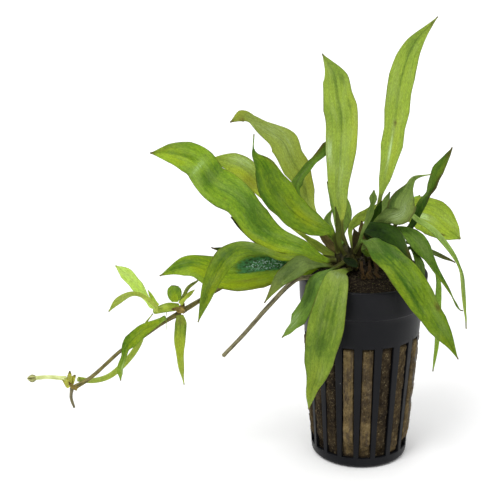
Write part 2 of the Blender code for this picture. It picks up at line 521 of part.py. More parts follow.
def make_plantlets():
    stem("plantlet_base", PALE, [(-75.4, -13, 68.3), (-79.5, -14, 68.3), (-84, -15, 66.8)], 3.8,
         (1.0, 1.0, 0.7))
    leaf("plantlet_leaf_round", FRESH, [(-76.3, -13.4, 70.6), (-76.3, -14, 74), (-76.2, -15, 78)],
         (1.1, 2.1, 2.6, 2.8, 2.8, 2.5, 1.4), petiole=0.0, rows=5)
    leaf("plantlet_leaf_short", FRESH, [(-74.1, -14.1, 70), (-71, -14.6, 73.6), (-68.4, -14.8, 76.1)],
         1.7, petiole=0.3, rows=5)
    leaf("plantlet_leaf_bright", BRIGHT, [(-84, -14, 69.4), (-84.5, -15, 69), (-88.5, -15.5, 74.5),
         (-91.5, -16, 79), (-95, -16.5, 83.5), (-99, -17, 87)],
         (0, 1.5, 1, 1.4, 2, 2.4, 2.2, 2.4, 2.4, 1.4, 0), petiole=0.35, rows=7)
    leaf("plantlet_leaf_arching", FRESH, [(-83.5, -17.4, 68), (-83.5, -18, 70.5), (-89, -19.5, 75.5),
         (-93, -22, 77), (-98, -23.5, 74.5), (-101.5, -24, 70.5)],
         (0, 0, 0.2, 0.5, 0.8, 0.9, 1.1, 1.4, 1.5, 0.9, 0), petiole=0.25, face=((0, -0.8, 0.8),
         (-0.6, -0.8, 0.3)), rows=8)
    leaf("plantlet_spike", FRESH, [(-83.3, -13, 68.6), (-85.2, -12, 71.5), (-86.9, -11.6, 74.7)], 1.5,
         petiole=0.1, rows=4)
    leaf("plantlet_leaf_folded", FRESH, [(-80, -15, 64.5), (-84, -15, 62), (-88.5, -15.5, 59.5),
         (-93, -15.5, 55.5), (-96, -15.5, 52), (-97, -15.5, 47.5), (-98.5, -16, 43), (-98.5, -16, 37.5)],
         (0, 1.2, 1.9, 2.5, 2.6, 2.7, 1.6, 1.1, 1.3, 1.3, 0), petiole=0.1, face=((0, -1, 0.5),
         (-0.4, -1, 0.1)), rows=10)
    leaf("plantlet_leaf_hanging", BRIGHT, [(-74.3, -14.6, 65.2), (-74, -14.5, 62), (-74.5, -14.5, 55),
         (-74.5, -15, 49), (-74, -15.5, 42.5), (-73, -16.5, 36)],
         (1.3, 2.3, 2.3, 2.3, 2.2, 1.7, 1.4, 1.3, 1, 0.4, 0), petiole=0.0, face=((0, -1, 0.2),), rows=8)
    leaf("plantlet_strap", FRESH, [(-115.5, -17.5, 38.9), (-110, -13, 36.2), (-104, -10.3, 36.8),
         (-98.5, -9.2, 41), (-93.5, -8.8, 47), (-90.3, -9.3, 53), (-88.6, -10.6, 59.5),
         (-85.2, -13.2, 65.3)], (0.7, 0.8, 1, 1.1, 1.2, 1.2, 1.2, 1, 0.7, 0.4, 0), petiole=0.1, rows=10)
    stem("outer_bracts", PALE, [(-118.6, -20, 37.4), (-118.6, -20, 42.6)], 3.4, (0.8, 1.1, 0.4), count=4)
    stem("outer_stem", PALE, [(-120.7, -20, 40.6), (-126, -21, 41.3), (-134.5, -22, 41.3)], 1.7,
         (1.0, 1.0, 1.0, 1.0, 1.1, 1.9, 1.2), count=6)


make_pot()
make_wool()
make_crown("crown_left", CROWN_LEFT)
make_crown("crown_right", CROWN_RIGHT)
make_leaves()
make_stems()
make_plantlets()
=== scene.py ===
import math

import bmesh
import bpy
import numpy as np
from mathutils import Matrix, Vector, noise


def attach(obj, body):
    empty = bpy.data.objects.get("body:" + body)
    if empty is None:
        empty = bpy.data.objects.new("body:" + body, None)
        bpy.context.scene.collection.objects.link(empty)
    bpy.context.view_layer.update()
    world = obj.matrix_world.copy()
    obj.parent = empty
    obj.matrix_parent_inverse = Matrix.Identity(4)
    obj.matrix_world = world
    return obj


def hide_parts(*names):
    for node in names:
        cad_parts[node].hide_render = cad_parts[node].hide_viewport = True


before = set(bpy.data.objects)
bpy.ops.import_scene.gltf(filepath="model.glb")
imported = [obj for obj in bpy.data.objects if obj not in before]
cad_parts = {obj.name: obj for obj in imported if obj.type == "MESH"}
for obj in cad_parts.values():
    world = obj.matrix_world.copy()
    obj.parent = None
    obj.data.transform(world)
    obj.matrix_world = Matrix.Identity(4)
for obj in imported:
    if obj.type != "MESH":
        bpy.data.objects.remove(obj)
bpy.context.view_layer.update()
print("frame loaded")

mm = 0.001
fullTurn = 2.0 * math.pi
plantShift = Vector((0.8, 0.0, 0.0))  # the plant stands a little to the right of the pot's axis
front = (0.0, -1.0, 0.35)  # the way a blade faces when the viewer sees it full on
chance = np.random.default_rng(11)


# Small helpers for numbers and curves
def smoothStep(low, high, value):
    t = min(max((value - low) / (high - low), 0.0), 1.0)
    return t * t * (3.0 - 2.0 * t)


def wander(x, y=0.37, z=0.71):
    return noise.noise(Vector((x, y, z)))


def smoothCurve(points, share):
    points = [Vector(p) for p in points]
    lengths = [0.0]
    for a, b in zip(points, points[1:]):
        lengths.append(lengths[-1] + (b - a).length)
    reach = share * lengths[-1]
    i = 0
    while i < len(points) - 2 and reach > lengths[i + 1]:
        i += 1
    t = (reach - lengths[i]) / (lengths[i + 1] - lengths[i])
    p1, p2 = points[i], points[i + 1]
    span = lengths[i + 1] - lengths[i]
    before = points[i - 1] if i > 0 else p1 - (p2 - p1)
    after = points[i + 2] if i + 2 < len(points) else p2 + (p2 - p1)
    slope1 = (p2 - before) / (span + (p1 - before).length) * span
    slope2 = (after - p1) / (span + (after - p2).length) * span
    return ((2 * t ** 3 - 3 * t ** 2 + 1) * p1 + (t ** 3 - 2 * t ** 2 + t) * slope1
            + (3 * t ** 2 - 2 * t ** 3) * p2 + (t ** 3 - t ** 2) * slope2)


def curveWay(points, share, reach=0.01):
    ahead = smoothCurve(points, min(share + reach, 1.0))
    return (ahead - smoothCurve(points, max(share - reach, 0.0))).normalized()


def curveLength(points):
    return sum((Vector(b) - Vector(a)).length for a, b in zip(points, points[1:]))


def findPlace(items, share):
    # the last item before a share of the way through the list, and how far on towards the next
    place = min(max(share, 0.0), 0.9999) * (len(items) - 1)
    return int(place), place - int(place)


def blendNumbers(numbers, share):
    i, on = findPlace(numbers, share)
    return numbers[i] + (numbers[i + 1] - numbers[i]) * on


def blendVectors(vectors, share):
    if len(vectors) == 1:
        return Vector(vectors[0])
    i, on = findPlace(vectors, share)
    return Vector(vectors[i]).lerp(Vector(vectors[i + 1]), on)


# Small helpers for shader nodes
class Value:
    # a shader node's output, which can be added, taken away and multiplied like a number
    def __init__(self, tree, socket):
        self.tree, self.socket = tree, socket

    def __add__(self, other):
        return calc("ADD", self, other)

    def __sub__(self, other):
        return calc("SUBTRACT", self, other)

    def __rsub__(self, other):
        return calc("SUBTRACT", other, self)

    def __mul__(self, other):
        return calc("MULTIPLY", self, other)

    def __abs__(self):
        return calc("ABSOLUTE", self)


def newMaterial(name):
    material = bpy.data.materials.new(name)
    material.use_nodes = True
    material.node_tree.nodes.clear()
    return material


def addNode(tree, kind, settings, sockets):
    node = tree.nodes.new(kind)
    for key, value in settings.items():
        setattr(node, key, value)
    for key, value in sockets.items():
        if isinstance(value, Value):
            tree.links.new(value.socket, node.inputs[key])
        else:
            node.inputs[key].default_value = value
    return node


def addValue(tree, kind, settings, sockets, output=0):
    return Value(tree, addNode(tree, kind, settings, sockets).outputs[output])


def calc(kind, a, b=0.0):
    tree = a.tree if isinstance(a, Value) else b.tree
    return addValue(tree, "ShaderNodeMath", {"operation": kind}, {0: a, 1: b})


def higher(a, b):
    return calc("MAXIMUM", a, b)


def lower(a, b):
    return calc("MINIMUM", a, b)


def between(value, low, high, start=0.0, end=1.0):
    settings = {"interpolation_type": "SMOOTHSTEP", "clamp": True}
    sockets = {"Value": value, "From Min": low, "From Max": high, "To Min": start, "To Max": end}
    return addValue(value.tree, "ShaderNodeMapRange", settings, sockets)


def rgb(colour):
    return colour if isinstance(colour, Value) else (*colour, 1.0)


def mixColour(share, a, b):
    settings = {"data_type": "RGBA", "blend_type": "MIX"}
    return addValue(share.tree, "ShaderNodeMix", settings, {0: share, 6: rgb(a), 7: rgb(b)}, 2)


def changeVector(kind, vector, sockets):
    return addValue(vector.tree, "ShaderNodeVectorMath", {"operation": kind}, {0: vector, **sockets})


def stretch(place, upright):
    return addValue(place.tree, "ShaderNodeMapping", {}, {"Vector": place, "Scale": (1.0, 1.0, upright)})


def noiseValue(place, scale, detail=3.0, rough=0.55):
    sockets = {"Vector": place, "Scale": scale, "Detail": detail, "Roughness": rough}
    return addValue(place.tree, "ShaderNodeTexNoise", {}, sockets)


def cellValue(place, scale, output="Distance"):
    return addValue(place.tree, "ShaderNodeTexVoronoi", {}, {"Vector": place, "Scale": scale}, output)


def readValue(tree, name):
    return addValue(tree, "ShaderNodeAttribute", {"attribute_name": name}, {}, "Fac")


def joinVector(x, y, z):
    return addValue(x.tree, "ShaderNodeCombineXYZ", {}, {0: x, 1: y, 2: z})


def objectPlace(tree):
    return addValue(tree, "ShaderNodeTexCoord", {}, {}, "Object")


def bumpNormal(height, strength, distance):
    sockets = {"Height": height, "Strength": strength, "Distance": distance}
    return addValue(height.tree, "ShaderNodeBump", {}, sockets)


def addSkin(colour, rough, gloss, normal=None):
    sockets = {"Base Color": colour, "Roughness": rough, "Specular IOR Level": gloss}
    if normal:
        sockets["Normal"] = normal
    return addValue(colour.tree, "ShaderNodeBsdfPrincipled", {}, sockets)


def closeTree(surface):
    addNode(surface.tree, "ShaderNodeOutputMaterial", {}, {"Surface": surface})


# Small helpers for meshes. A shape is its verts, its faces and its values for each vert
def ringFaces(rows, columns):
    # faces between rows of verts that each close into a ring
    faces = []
    for i in range(rows):
        for j in range(columns):
            k = (j + 1) % columns
            faces.append((i * columns + j, i * columns + k, (i + 1) * columns + k, (i + 1) * columns + j))
    return faces


def showMesh(name, data, material, node):
    data.materials.append(material)
    piece = bpy.data.objects.new(name, data)
    bpy.context.scene.collection.objects.link(piece)
    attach(piece, "root")
    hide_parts(node)


def addPiece(name, shape, material, node):
    verts, faces, values = shape
    data = bpy.data.meshes.new(name)
    data.from_pydata([tuple(v) for v in verts], [], faces)
    for key, numbers in values.items():
        layer = data.attributes.new(key, "FLOAT", "POINT")
        layer.data.foreach_set("value", np.asarray(numbers, np.float32))
    data.shade_smooth()
    showMesh(name, data, material, node)


def joinShapes(shapes):
    verts, faces, values = [], [], {}
    for shapeVerts, shapeFaces, shapeValues in shapes:
        first = len(verts)
        verts.extend(shapeVerts)
        faces.extend([tuple(i + first for i in face) for face in shapeFaces])
        for key, numbers in shapeValues.items():
            values.setdefault(key, []).extend(numbers)
    return verts, faces, values


def onPlant(shape):
    verts, faces, values = shape
    return [Vector(v) + plantShift * mm for v in verts], faces, values


tubeForm = {"step": 0.7, "ridge": 0.05, "lumps": 0.35, "lumpTurn": 0.9, "capBulge": 0.45}


def tubeShape(points, radii, sides, seed, rough, ridges=0, steps=None):
    # a closed round stem through the points, its radius from the list along it
    form, length = tubeForm, curveLength(points)
    steps = steps or max(4, int(length / form["step"]))
    verts, values = [], {"run": [], "turn": [], "seed": []}

    def addVert(spot, share, turn):
        verts.append(spot * mm)
        values["run"].append(share * length)
        values["turn"].append(turn)
        values["seed"].append(seed)

    across = curveWay(points, 0.0).orthogonal().normalized()
    for i in range(steps + 1):
        share = i / steps
        middle, along = smoothCurve(points, share), curveWay(points, share)
        across = (across - across.dot(along) * along).normalized()
        other = along.cross(across)
        for j in range(sides):
            turn = fullTurn * j / sides
            x, y = math.cos(turn), math.sin(turn)
            lump = wander(seed + share * length * form["lumps"], x * form["lumpTurn"], y * form["lumpTurn"])
            radius = blendNumbers(radii, share) * (1.0 + rough * lump)
            if ridges:
                radius *= 1.0 + form["ridge"] * math.cos(ridges * turn)
            addVert(middle + across * (radius * x) + other * (radius * y), share, j / sides)
    faces = ringFaces(steps, sides)
    for end, ring in ((0, range(sides - 1, -1, -1)), (steps, range(sides))):
        share = end / steps
        bulge = blendNumbers(radii, share) * form["capBulge"] * (1 if end else -1)
        addVert(smoothCurve(points, share) + curveWay(points, share) * bulge, share, 0.5)
        for j in range(sides):
            faces.append((end * sides + ring[j], end * sides + ring[(j + 1) % sides], len(verts) - 1))
    return verts, faces, values


# Leaves: where they start, how wide they are along their length, and the blade itself
crowns = {"left": (-8.0, -1.0), "right": (6.0, 5.0)}
seatRadii = (5.75, 4.75, 3.4, 2.05)  # leaves start on four rings round a crown, the outermost lowest
seatFoot = 1.7  # how far the lowest ring is above the wool
seatRise = 2.7  # from one ring to the next
woolTop = 80.0
leafDefaults = {"face": (front,), "cup": 0.12, "dry": 0.5, "wave": 0.2, "waves": 2.0, "warm": 0.0,
                "sheen": 0.0, "tender": 0.0, "marks": (), "widest": 0.5, "fullness": 1.8}
leafForm = {
    "petioleWidth": 2.0, "petioleLoss": 1.5, "lossEnd": 0.8, "petioleThick": 1.15,
    "blade": 1.03,  # the solids' edges are rounded off, so a blade is a little wider than its row
    "rowLength": 1.1, "fewestRows": 18, "mostRows": 84, "wideBlade": 3.5, "wideColumns": 18, "columns": 12,
    "edgeColumn": 0.94, "calm": 0.2,  # leaves with a given outline wave less, so that it stays true
    "edgeWobble": 0.03, "edgeStep": 0.16, "cupCurve": 1.2, "waveCurve": 1.7,
    "lump": 1.1, "lumpRun": 0.075, "lumpSide": 0.1, "dent": 0.22, "dentRun": 0.3, "dentSide": 0.35,
    "pleat": 0.045, "veins": 3.4, "edgeThick": 0.3, "middleThick": 0.16, "edgeSharp": 14,
    "groove": 0.2, "grooveWidth": 0.5, "rib": 0.5, "ribWidth": 0.6, "fullRib": 3.0}
# what each vert of a leaf tells its material. Marks raise deep (dark patches, in a few places painted shade),
# brown, painted sheen highlights, warm and wet
leafValues = ("across", "lateral", "run", "share", "stalk", "under", "tone", "dry", "seed",
              "deep", "brown", "sheen", "warm", "wet", "tender")


def seat(crown, turn, tier):
    angle = math.radians(turn)
    x, y = crowns[crown]
    radius = seatRadii[tier]
    return (x + radius * math.cos(angle), y + radius * math.sin(angle), woolTop + seatFoot + seatRise * tier)


def halfWidths(spec, share):
    # half of the petiole's width and half of the whole leaf's width at a share of the length
    form = leafForm
    stalk = (form["petioleWidth"] - form["petioleLoss"] * min(share / form["lossEnd"], 1.0)) / 2
    blade = 0.0
    if "half" in spec:
        blade = blendNumbers(spec["half"], share) * form["blade"]
    else:
        # a lance-shaped blade after the petiole
        petiole, widest = spec["petiole"], spec["widest"]
        place = (share - petiole) / (1.0 - petiole)
        rise, fall = spec["fullness"] * widest, spec["fullness"] * (1.0 - widest)
        if 0.0 < place < 1.0:
            peak = widest ** rise * (1.0 - widest) ** fall
            blade = spec["width"] / 2 * place ** rise * (1 - place) ** fall / peak
    return stalk, (stalk ** 4 + blade ** 4) ** 0.25


def leafShape(spec, seed):
    spec = {**leafDefaults, **spec}
    form, spine, petiole = leafForm, spec["spine"], spec["petiole"]
    calm = form["calm"] if "half" in spec else 1.0
    length = curveLength(spine)
    rows = int(min(max(length / form["rowLength"], form["fewestRows"]), form["mostRows"]))
    widest = max(halfWidths(spec, i / 20)[1] for i in range(21))
    columns = form["wideColumns"] if widest > form["wideBlade"] else form["columns"]
    spread = [-1.0] + list(np.linspace(-form["edgeColumn"], form["edgeColumn"], columns - 1)) + [1.0]
    verts = []
    values = {key: [] for key in leafValues}
    for share in [i / rows for i in range(rows + 1)]:
        middle, along = smoothCurve(spine, share), curveWay(spine, share)
        normal = blendVectors(spec["face"], share)
        normal = (normal - normal.dot(along) * along).normalized()
        side = along.cross(normal)
        stalk, half = halfWidths(spec, share)
        roundness = min((stalk / half) ** 2, 1.0)  # 1 on the petiole, near 0 on the blade
        blade = 1.0 - roundness
        body = math.sin(math.pi * min(max((share - petiole) / (1.0 - petiole), 0.0), 1.0)) ** 0.5
        ribShare = blade * min(half / form["fullRib"], 1.0)
        lines = []
        for a in spread:
            sided = 1.0 if a > 0 else 0.0
            edgeNoise = wander(seed * 3.1 + 5.0 * sided, share * length * form["edgeStep"])
            lateral = a * half * (1.0 + form["edgeWobble"] * calm * blade * edgeNoise)
            lift = spec["cup"] * abs(a) ** form["cupCurve"] * half
            ripple = math.sin(fullTurn * spec["waves"] * share + seed * 2.3 + 2.0 * sided)
            lift += blade * body * calm * spec["wave"] * abs(a) ** form["waveCurve"] * ripple
            inner = blade * max(1.0 - calm * 0.2 - abs(a) ** 4 * (1.0 - calm), 0.0)
            lump = wander(seed, share * length * form["lumpRun"], lateral * form["lumpSide"])
            dent = wander(seed + 4.0, share * length * form["dentRun"], lateral * form["dentSide"])
            lift += inner * (form["lump"] * lump + form["dent"] * dent)
            lift += form["pleat"] * blade * math.cos(fullTurn * a * form["veins"]) * (1 - a * a)
            thick = blade * (form["edgeThick"] + form["middleThick"] * (1 - abs(a)))
            thick *= 1 - abs(a) ** form["edgeSharp"]
            thick += roundness * form["petioleThick"] * math.sqrt(max(1 - a * a, 0.0)) * stalk ** 0.5
            groove = form["groove"] * ribShare * math.exp(-(lateral / form["grooveWidth"]) ** 2)
            rib = form["rib"] * ribShare * math.exp(-(lateral / form["ribWidth"]) ** 2) * (1.0 - share) ** 0.6
            spot = middle + side * lateral + normal * lift
            lines.append((a, lateral, spot, thick / 2 - groove, thick / 2 + rib))
        for a, lateral, spot, above, below in lines:
            verts.append(spot + normal * above)
            addValues(values, a, lateral, share, length, roundness, 0.0, spec, seed)
        for a, lateral, spot, above, below in lines[-2:0:-1]:
            verts.append(spot - normal * below)
            addValues(values, a, lateral, share, length, roundness, 1.0, spec, seed)
    ring = 2 * columns
    faces = ringFaces(rows, ring)
    # the two ends are closed by strips between the upper and lower sides
    for end in (0, rows):
        base = end * ring
        for j in range(columns):
            corners = []
            for corner in (base + j, base + j + 1, base + ring - j - 1, base + (ring - j) % ring):
                if corner not in corners:
                    corners.append(corner)
            if len(corners) > 2:
                faces.append(tuple(reversed(corners)) if end else tuple(corners))
    return [(v + plantShift) * mm for v in verts], [tuple(reversed(f)) for f in faces], values


def addValues(values, a, lateral, share, length, roundness, under, spec, seed):
    row = {"across": a, "lateral": lateral, "run": share * length, "share": share, "stalk": roundness,
           "under": under, "seed": seed}
    for key in ("tone", "dry", "sheen", "warm", "tender"):
        row[key] = spec[key]
    for key in leafValues:
        values[key].append(row.get(key, 0.0))
    # each mark: its kind, its share of the length, its place across, half its length and width, its strength
    for kind, markShare, markAcross, long, wide, strength in spec["marks"]:
        alongOff = (share - markShare) * length / long
        sideOff = (a - markAcross) * max(abs(lateral / a) if a else 3.0, 0.5) / wide
        amount = strength * math.exp(-(alongOff ** 2 + sideOff ** 2) ** 1.5)
        values[kind][-1] = min(values[kind][-1] + amount, 1.0)


# What each kind of leaf looks like: its young and its deep colour, its lower side, which is also the base of
# its painted sheen, the colour of its painted sheen highlight, the light that passes through and how much of
# it, how rough and glossy it is, and how strong its bands of painted sheen are
leafLooks = {
    "leaf_bright": dict(young=(0.255, 0.355, 0.04), deep=(0.1, 0.185, 0.016), lower=(0.3, 0.38, 0.1),
                        highlightTint=(0.46, 0.6, 0.3), through=(0.34, 0.45, 0.03), clear=0.36, rough=0.4,
                        gloss=0.16, highlightBands=0.3),
    "leaf_fresh": dict(young=(0.185, 0.28, 0.012), deep=(0.05, 0.125, 0.006), lower=(0.2, 0.29, 0.06),
                       highlightTint=(0.4, 0.55, 0.24), through=(0.26, 0.38, 0.01), clear=0.32, rough=0.4,
                       gloss=0.14, highlightBands=0.3),
    "leaf_pale": dict(young=(0.27, 0.35, 0.04), deep=(0.13, 0.2, 0.02), lower=(0.29, 0.36, 0.1),
                      highlightTint=(0.42, 0.52, 0.24), through=(0.34, 0.42, 0.03), clear=0.36, rough=0.45,
                      gloss=0.14, highlightBands=0.3),
    "leaf_deep": dict(young=(0.105, 0.195, 0.014), deep=(0.03, 0.08, 0.006), lower=(0.14, 0.21, 0.05),
                      highlightTint=(0.3, 0.42, 0.2), through=(0.15, 0.25, 0.014), clear=0.25, rough=0.38,
                      gloss=0.12, highlightBands=0.25),
    "leaf_dull": dict(young=(0.15, 0.22, 0.04), deep=(0.055, 0.1, 0.015), lower=(0.18, 0.24, 0.08),
                      highlightTint=(0.3, 0.38, 0.2), through=(0.2, 0.28, 0.025), clear=0.25, rough=0.5,
                      gloss=0.12, highlightBands=0.3),
    # leaf_dark's very dark colours are partly painted shade, for leaves that sit deep under others
    "leaf_dark": dict(young=(0.05, 0.12, 0.008), deep=(0.012, 0.04, 0.003), lower=(0.08, 0.14, 0.03),
                      highlightTint=(0.25, 0.36, 0.16), through=(0.08, 0.16, 0.006), clear=0.2, rough=0.36,
                      gloss=0.06, highlightBands=0.1),
    "sheath": dict(young=(0.1, 0.08, 0.025), deep=(0.025, 0.02, 0.008), lower=(0.11, 0.085, 0.04),
                   highlightTint=(0.2, 0.16, 0.08), through=(0.1, 0.07, 0.02), clear=0.12, rough=0.6,
                   gloss=0.06, highlightBands=0.2),
}
# What all leaves share: the two browns of a petiole's foot, of dead tissue, the two greens of wet skin, the
# painted glint highlight colour, how a warm part's colour is shifted, the rungs of the fine ladder to a
# millimetre, and the relief
leafShared = {"foot": ((0.075, 0.085, 0.014), (0.035, 0.024, 0.01)),
              "dead": ((0.03, 0.02, 0.01), (0.17, 0.085, 0.025)),
              "wet": ((0.008, 0.05, 0.016), (0.06, 0.24, 0.085)), "paintedGlint": (0.6, 0.85, 0.75),
              "warmth": (1.35, 1.08, 0.6), "ladder": 0.9, "bump": 0.5, "bumpDepth": 0.00012}


def leafMaterial(name, look):
    material = newMaterial(name)
    tree = material.node_tree
    lateral, run, share, stalk = [readValue(tree, key) for key in ("lateral", "run", "share", "stalk")]
    under, tone, dry, seed = [readValue(tree, key) for key in ("under", "tone", "dry", "seed")]
    deep, brownMark, sheen = [readValue(tree, key) for key in ("deep", "brown", "sheen")]
    warm, wet, tender = [readValue(tree, key) for key in ("warm", "wet", "tender")]
    across, aside = abs(readValue(tree, "across")), abs(lateral)

    def leafNoise(sideScale, longScale, detail=3.0):
        return noiseValue(joinVector(lateral * sideScale, run * longScale, seed), 1.0, detail)

    # patches, long streaks and fine grain, all laid along the leaf
    patch = leafNoise(0.13, 0.06)
    streak = leafNoise(1.2, 0.06)
    grain = leafNoise(3.2, 1.1, 2.0)
    mottle = leafNoise(1.1, 0.55, 4.0)
    thread = leafNoise(4.5, 0.16)
    highlightBands = leafNoise(0.34, 0.1)
    # parallel veins that run from the base to the tip, a fine ladder between them, and the midrib
    onBlade = between(stalk, 0.15, 0.6, 1.0, 0.0)
    lane = across * leafForm["veins"]
    offLane = abs(lane - calc("ROUND", lane))
    veins = between(offLane, 0.02, 0.2, 1.0, 0.0) * onBlade
    rung = abs(calc("FRACT", run * leafShared["ladder"] + grain * 1.6 + aside) - 0.5)
    ladder = between(rung, 0.36, 0.5) * onBlade
    midrib = between(aside, 0.1, 0.7, 1.0, 0.0) * onBlade
    # the colour
    depth = patch * 1.9 + streak * 0.5 + mottle * 1.7 - (warm * 0.6 + 1.65) + deep * 0.8
    depth = higher(lower(depth, 1.0), 0.0)
    lines = veins * 0.2 + ladder * 0.28 + midrib * 0.4 * between(streak, 0.3, 0.7)
    colour = mixColour(lines, mixColour(depth, look["young"], look["deep"]), look["deep"])
    colour = mixColour(warm * 0.8, colour, changeVector("MULTIPLY", colour, {1: leafShared["warmth"]}))
    # a painted bluish sheen: highlight colour laid on in broad bands and thin streaks, strongest where a leaf
    # is marked with painted sheen
    pale = between(streak, 0.5, 0.72) * between(aside, 0.3, 1.4, 0.0, 0.15)
    paintedHighlight = sheen * between(thread, 0.35, 0.65, 0.65, 1.0)
    pale = lower(pale + between(highlightBands, 0.48, 0.68, 0.0, look["highlightBands"]) + paintedHighlight, 1.0)
    colour = mixColour(pale, colour, mixColour(between(paintedHighlight, 0.5, 1.0), look["lower"], look["highlightTint"]))
    colour = mixColour(under * 0.7, colour, look["lower"])
    fleck = thread * 0.35 + grain * 0.9 - deep * 0.22
    brightness = (tone * 1.6 + 0.5) * (fleck + 0.4)
    colour = changeVector("SCALE", colour, {"Scale": brightness})
    # petioles turn brown and streaked towards the crown
    foot = between(stalk, 0.4, 0.9) * between(share, 0.08, 0.36, 0.95, 0.0) * (1.0 - tender)
    colour = mixColour(foot, colour, mixColour(between(streak, 0.35, 0.7), *leafShared["foot"]))
    # a brown tip, thin brown edges and a few dead specks
    tip = between(share + (grain - 0.5) * 0.05 + dry * 0.04, 0.985, 1.02)
    rim = between(across, 0.9, 1.0) * between(patch, 0.4, 0.62) * (dry + 0.2)
    rim = higher(rim, between(across, 0.95, 1.0, 0.0, 0.5)) * onBlade
    cells = cellValue(joinVector(lateral * 0.32, run * 0.2, seed), 1.0)
    specks = between(cells, 0.05, 0.1, 1.0, 0.0) * (dry * 0.6)
    stain = brownMark * between(mottle, 0.25, 0.5, 0.55, 1.0)
    dead = lower(higher(higher(tip, rim), higher(specks, stain)), 1.0)
    brown = mixColour(grain, *leafShared["dead"])
    colour = mixColour(dead * 0.85, colour, brown)
    # wet patches, which are dark, with painted glints: white highlight specks on them and on the strongest
    # painted sheen
    wetColour = mixColour(between(mottle, 0.35, 0.62), *leafShared["wet"])
    colour = mixColour(between(wet, 0.05, 0.7, 0.0, 0.92), colour, wetColour)
    paintedGlint = between(wet, 0.8, 1.0) * between(thread, 0.42, 0.52)
    paintedGlint = higher(paintedGlint, between(sheen, 0.9, 1.0, 0.0, 0.4)) * between(leafNoise(1.8, 1.3), 0.5, 0.6)
    colour = mixColour(paintedGlint, colour, leafShared["paintedGlint"])
    # satin, duller on the lower side and smooth where it is wet
    rough = (streak - 0.5) * 0.25 + look["rough"] + under * 0.12 - sheen * 0.08
    rough = higher(rough - wet * 0.3, 0.08)
    beads = leafNoise(2.6, 2.2, 2.0)
    height = veins * -0.45 + ladder * -0.2 + grain * 0.35 + beads * wet * 6.0
    normal = bumpNormal(height, leafShared["bump"], leafShared["bumpDepth"])
    skin = addSkin(colour, rough, look["gloss"], normal)
    # the light that comes through
    glow = mixColour(depth * 0.6, look["through"], look["young"])
    glow = changeVector("SCALE", mixColour(lines * 1.2, glow, look["deep"]), {"Scale": brightness})
    glow = mixColour(between(wet, 0.05, 0.7, 0.0, 0.9), mixColour(dead, glow, brown), wetColour)
    through = addValue(tree, "ShaderNodeBsdfTranslucent", {}, {"Color": glow, "Normal": normal})
    clear = (1.0 - stalk * 0.8) * look["clear"]
    closeTree(addValue(tree, "ShaderNodeMixShader", {}, {0: clear, 1: skin, 2: through}))
    return material


leafMaterials = {name: leafMaterial(name + "_tissue", look) for name, look in leafLooks.items()}

# Each leaf: its finish, how light it is, the petiole's share of its length, how dry, wavy and warm it is, its
# midrib's points (spine), its half widths from foot to tip or its greatest width, the ways that it faces, and
# its marks. What a leaf doesn't give comes from leafDefaults

